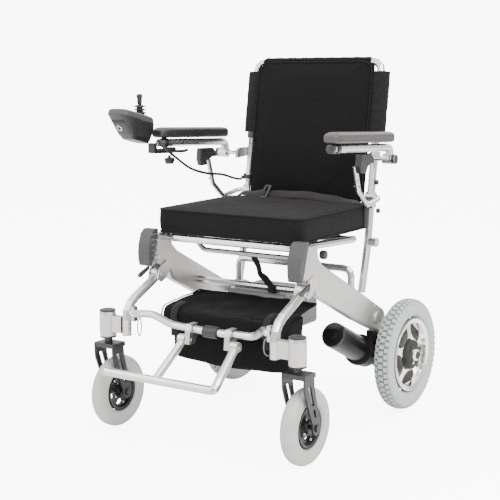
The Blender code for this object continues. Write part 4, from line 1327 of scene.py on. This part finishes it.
@dataclass
class Controller:
    """Joystick box trim: bellows, stick, seams, keys and the lead's clip."""

    x: float = -0.301
    y: float = -0.185
    z: float = 0.846
    tilt: float = 14.0

    def at(self, across: float, back: float, up: float) -> Vector:
        """Point in the box's own tilted frame."""
        turn = Matrix.Rotation(math.radians(-self.tilt), 3, "X")
        return Vector((self.x, self.y, self.z)) + turn @ Vector((across, back, up))

    def up(self) -> Vector:
        """Direction out of the box's top."""
        return self.at(0, 0, 1) - self.at(0, 0, 0)

    def stick(self) -> None:
        """Three ringed bellows and the waisted stick."""
        bellows = [(0.0050, 0.0310), (0.0075, 0.0300), (0.0175, 0.0262), (0.0180, 0.0252),
                   (0.0085, 0.0226), (0.0085, 0.0200), (0.0182, 0.0172), (0.0188, 0.0162),
                   (0.0095, 0.0136), (0.0095, 0.0112), (0.0188, 0.0090), (0.0194, 0.0078),
                   (0.0120, 0.0040), (0.0120, -0.0035), (0.0050, -0.0035)]
        spot = (self.x, self.y, self.z)
        boot = make("stick_bellows", lathe(bellows, spot, (0, 0, 1), 40, True), "rubber",
                    "joystick_gimbal", 60)
        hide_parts("joystick_boot")
        grip = [(0, 0.0600), (0.0055, 0.0597), (0.0080, 0.0575), (0.0085, 0.0545),
                (0.0078, 0.0500), (0.0068, 0.0440), (0.0072, 0.0380), (0.0062, 0.0335),
                (0.0046, 0.0310), (0.0046, -0.0018), (0, -0.0018)]
        knob = make("stick_grip", lathe(grip, spot, (0, 0, 1), 32), "rubber", "joystick_stick",
                    60)
        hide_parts("joystick_stick")

    def trim(self) -> None:
        """Gasket, shell seam, display, charge socket and slit."""
        gasket = [(0.0182, -0.001), (0.0225, -0.001), (0.0220, 0.0018), (0.0200, 0.0030),
                  (0.0182, 0.0022)]
        make("stick_gasket", lathe(gasket, self.at(0, 0, 0), self.up(), 40, True), "rubber",
             "armrest_right")
        seam = []
        for a in turns(64):
            c, s = math.cos(a), math.sin(a)
            seam.append(self.at(boxy(c, 0.5) * 0.0362,
                                -0.035 + boxy(s, 0.5) * 0.0732, -0.0165))
        make("shell_seam", sweep(seam, disc(0.0008, 6), True), "plastic", "armrest_right")
        panel = block((0.044, 0.020, 0.0016), (0, 0, 0), 0.0006)
        turn = Matrix.Rotation(math.radians(-self.tilt), 3, "X")
        panel.points = [self.at(0, -0.070, 0.0) + turn @ p for p in panel.points]
        make("key_panel", panel, "key", "armrest_right")
        lights = Solid([], [])
        for i in range(5):
            spot = self.at(-0.014 + 0.007 * i, -0.0735, 0.0008)
            lights.join(lathe([(0, 0), (0.0016, 0), (0.0012, 0.0007), (0, 0.0009)], spot,
                              self.up(), 12))
        make("level_lights", lights, "alloy", "armrest_right")
        out = (0, -0.83, -0.55)
        ring = [(0.0050, -0.002), (0.0090, -0.002), (0.0090, 0.0014), (0.0078, 0.0026),
                (0.0055, 0.0022), (0.0050, 0.0)]
        spot = self.at(-0.004, -0.0715, -0.0480)
        make("charge_socket", lathe(ring, spot, out, 28, True), "steel", "armrest_right")
        slit = [self.at(-0.020, -0.0865, -0.0340), self.at(0.0, -0.0885, -0.0335),
                self.at(0.020, -0.0865, -0.0340)]
        make("front_slit", sweep(slit, flat(0.010, 0.0020), normals=[Vector(out)] * 3),
             "rim_black", "armrest_right")

    def clips(self) -> None:
        """Clamp lever, knob grip ribs and the clip that holds the lead on the post."""
        lever = spline([(-0.262, -0.085, 0.7440), (-0.256, -0.070, 0.7425),
                        (-0.254, -0.050, 0.7420), (-0.255, -0.035, 0.7440)], 13)
        make("clamp_lever", sweep(lever, disc(0.0042, 10)), "plastic", "armrest_right")
        ribs = Solid([], [])
        for a in turns(16):
            spot = (-0.276 + 0.0131 * math.cos(a), -0.090 + 0.0131 * math.sin(a), 0.7195)
            ribs.join(block((0.0022, 0.0022, 0.0085), spot, 0.0006))
        make("knob_ribs", ribs, "plastic", "controller_knob")
        post = Backrest()
        band = [(0.0112, -0.006), (0.0138, -0.0055), (0.0138, 0.0055), (0.0112, 0.006)]
        along = post.at(0, 1, 0) - post.at(0, 0, 0)
        clip = lathe(band, post.at(-0.208, 0.036, 0), along, 28, True)
        clip.join(block((0.014, 0.010, 0.010), post.at(-0.224, 0.034, -0.006), 0.002))
        make("lead_clip", clip, "plastic", "backrest")

    def build(self) -> None:
        """Build the controller's visible parts."""
        self.stick()
        self.trim()
        self.clips()


# --- frame trim ---------------------------------------------------------------------------


@dataclass
class FrameTrim:
    """Bolts, plugs, rings and ribs on the silver frame."""

    beam_outer: float = 0.2492
    beam_inner: float = 0.2228

    def beams(self) -> None:
        """Small screws along each beam's front edge and its rear boss."""
        spots = ((-0.219, 0.512), (-0.216, 0.486), (-0.213, 0.462), (-0.200, 0.520),
                 (0.150, 0.312), (0.196, 0.262))
        for side, sign in SIDES:
            heads = Solid([], [])
            for y, z in spots:
                heads.join(screw((sign * self.beam_outer, y, z), (sign, 0, 0), 0.0032, 0.0016))
                heads.join(screw((sign * self.beam_inner, y, z), (-sign, 0, 0), 0.0032, 0.0016))
            make("beam_screws_" + side, heads, "steel", "chassis")

    def gearboxes(self) -> None:
        """The gearbox screws."""
        for side, sign in SIDES:
            low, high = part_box("gearbox_" + side)
            heads = Solid([], [])
            mid = (Vector(low) + Vector(high)) / 2
            for dy, dz in ((-0.055, -0.035), (-0.055, 0.035), (0.030, -0.045), (0.030, 0.045)):
                heads.join(screw((mid.x - sign * 0.010, mid.y + dy, mid.z + dz), (0, -1, 0),
                                 0.0045, 0.003))
            make("gearbox_screws_" + side, heads, "steel", "chassis")

    def rings(self) -> None:
        """Tie-down rings that hang below the ends of the hoop."""
        for side, sign in SIDES:
            centre = Vector((sign * 0.206, -0.325, 0.292))
            loop = [centre + Vector((0.005 * math.cos(a) * sign, 0.014 * math.cos(a),
                                     0.024 * math.sin(a)))
                    for a in turns(36)]
            make("tie_ring_" + side, sweep(loop, disc(0.0017, 8), True), "dark_steel",
                 "front_frame")

    def plugs(self) -> None:
        """End plugs of the foot bar and the ribs of the bumper caps."""
        low, _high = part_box("footrest_frame")
        plug = [(0, -0.002), (0.0085, -0.0015), (0.0105, 0.0), (0.0105, 0.002), (0, 0.002)]
        spot = (low[0] + 0.0015, -0.402, 0.179)
        make("foot_bar_plug", lathe(plug, spot, (1, 0, 0), 24), "plastic", "footrest")
        for side, sign in SIDES:
            ribs = Solid([], [])
            for i in range(6):
                z = 0.4580 + 0.0144 * i
                ribs.join(block((0.0030, 0.026, 0.0028), (sign * 0.2205, -0.236, z), 0.0008))
            make("bumper_ribs_" + side, ribs, "key", "chassis")

    def build(self) -> None:
        """Build the frame's trim."""
        self.beams()
        self.gearboxes()
        self.rings()
        self.plugs()


# --- studio -------------------------------------------------------------------------------

LAMPS = (
    ("key", (2.4, -1.2, 2.6), 2.2, 150.0),
    ("fill", (-2.6, -2.2, 1.8), 2.5, 60.0),
    ("rear", (0.4, 2.6, 2.2), 2.0, 40.0),
)


@dataclass
class Studio:
    """Floor, soft light and camera."""

    eye: Point = (1.7295, -2.6438, 0.9889)
    lens: float = 82.8
    right: Point = (0.82816277, 0.56037581, -0.01119727)
    up: Point = (-0.08136478, 0.13996471, 0.98680781)
    ahead: Point = (-0.55455045, 0.81632642, -0.16150841)
    surround: float = 1.9
    backdrop: float = 9.0

    def floor(self) -> None:
        """A pale flat floor under and behind the chair."""
        mesh = bpy.data.meshes.new("studio_floor")
        far = 14.0
        mesh.from_pydata([(-far, -far, 0), (far, -far, 0), (far, far, 0), (-far, far, 0)], [],
                         [(0, 1, 2, 3)])
        obj = bpy.data.objects.new("studio_floor", mesh)
        obj.location.z = -0.0006
        bpy.context.scene.collection.objects.link(obj)
        mesh.materials.append(finish("floor"))

    def light(self, name: str, place: Point, size: float, power: float) -> None:
        """One soft box that points at the seat."""
        data = bpy.data.lights.new(name, "AREA")
        data.shape = "SQUARE"
        data.size = size
        data.energy = power
        obj = bpy.data.objects.new(name, data)
        aim = Vector((0, 0, 0.45)) - Vector(place)
        obj.rotation_euler = aim.to_track_quat("-Z", "Y").to_euler()
        obj.location = place
        bpy.context.scene.collection.objects.link(obj)

    def lights(self) -> None:
        """White surround and three soft boxes."""
        world = bpy.data.worlds.new("studio")
        world.use_nodes = True
        back = world.node_tree.nodes["Background"]
        back.inputs["Color"].default_value = (1.0, 1.0, 1.0, 1.0)
        nodes = Nodes(world.node_tree)
        place = nodes.add("ShaderNodeTexCoord", {}, {})
        height = nodes.add("ShaderNodeSeparateXYZ", {}, {0: place}, 2)
        sky = nodes.add("ShaderNodeMapRange", {"interpolation_type": "SMOOTHSTEP"}, {
            "Value": height, "From Min": -0.10, "From Max": 0.75,
            "To Min": 0.35 * self.surround, "To Max": 1.5 * self.surround})
        seen = nodes.add("ShaderNodeLightPath", {}, {})
        strength = nodes.add("ShaderNodeMapRange", {}, {
            "Value": seen, "To Min": sky, "To Max": self.backdrop})
        nodes.tree.links.new(strength.socket, back.inputs["Strength"])
        bpy.context.scene.world = world
        for lamp in LAMPS:
            self.light(*lamp)

    def camera(self) -> None:
        """The camera, at three-quarter view from the front left of the chair."""
        data = bpy.data.cameras.new("camera")
        data.lens = self.lens
        data.sensor_width = 36.0
        obj = bpy.data.objects.new("camera", data)
        columns = (self.right, self.up, [-v for v in self.ahead])
        turn = Matrix([[columns[c][r] for c in range(3)] for r in range(3)]).to_4x4()
        obj.matrix_world = Matrix.Translation(Vector(self.eye)) @ turn
        bpy.context.scene.collection.objects.link(obj)
        bpy.context.scene.camera = obj

    def build(self) -> None:
        """Set up the studio."""
        self.floor()
        self.lights()
        self.camera()


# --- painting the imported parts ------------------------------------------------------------

BY_SLOT = {
    "frame_silver": "silver", "gearbox_cast": "cast", "motor_black": "motor",
    "battery_case": "battery", "bag_fabric": "bag", "cushion_fabric": "cushion",
    "back_fabric": "back", "belt_webbing": "belt", "black_plastic": "plastic",
    "dark_steel": "steel", "drive_tyre_rubber": "drive_tyre",
    "caster_tyre_rubber": "caster_tyre", "rim_alloy": "alloy", "fork_black": "fork",
    "caster_rim_dark": "caster_rim", "hub_black": "rim_black", "armpad_foam": "pad_right",
    "controller_shell": "shell", "joystick_rubber": "rubber", "button_grey": "key",
}
BY_NODE = {
    "side_beam_left": "beam", "side_beam_right": "beam",
    "caster_housing_left": "housing", "caster_housing_right": "housing",
    "beam_front_cap_left": "bumper", "beam_front_cap_right": "bumper",
    "controller_cable": "cable",
}


def paint() -> None:
    """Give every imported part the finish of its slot, or its own."""
    box = Controller()
    normal = tuple(box.up())
    level = box.at(0, 0, -0.0165).dot(box.up())
    FINISHES["shell"] = TwoTone("controller_shell", (0.036, 0.035, 0.0345),
                                (0.008, 0.0076, 0.0072), normal, level)
    for name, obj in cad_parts.items():
        for slot in obj.material_slots:
            slot.material = finish(BY_NODE.get(name, BY_SLOT[slot.material.name.split(".")[0]]))
        LOG.info("%s painted", name)


def main() -> None:
    """Build everything in order."""
    logging.basicConfig(level=logging.INFO, format="%(name)s: %(message)s")
    Studio().build()
    paint()
    for side, sign in SIDES:
        DriveWheel(side, sign).build()
        Caster(side, sign).build()
        Armrest(side, sign).build()
    Seat().build()
    Backrest().build()
    Bag().build()
    Controller().build()
    FrameTrim().build()


if __name__ == "__main__":
    main()
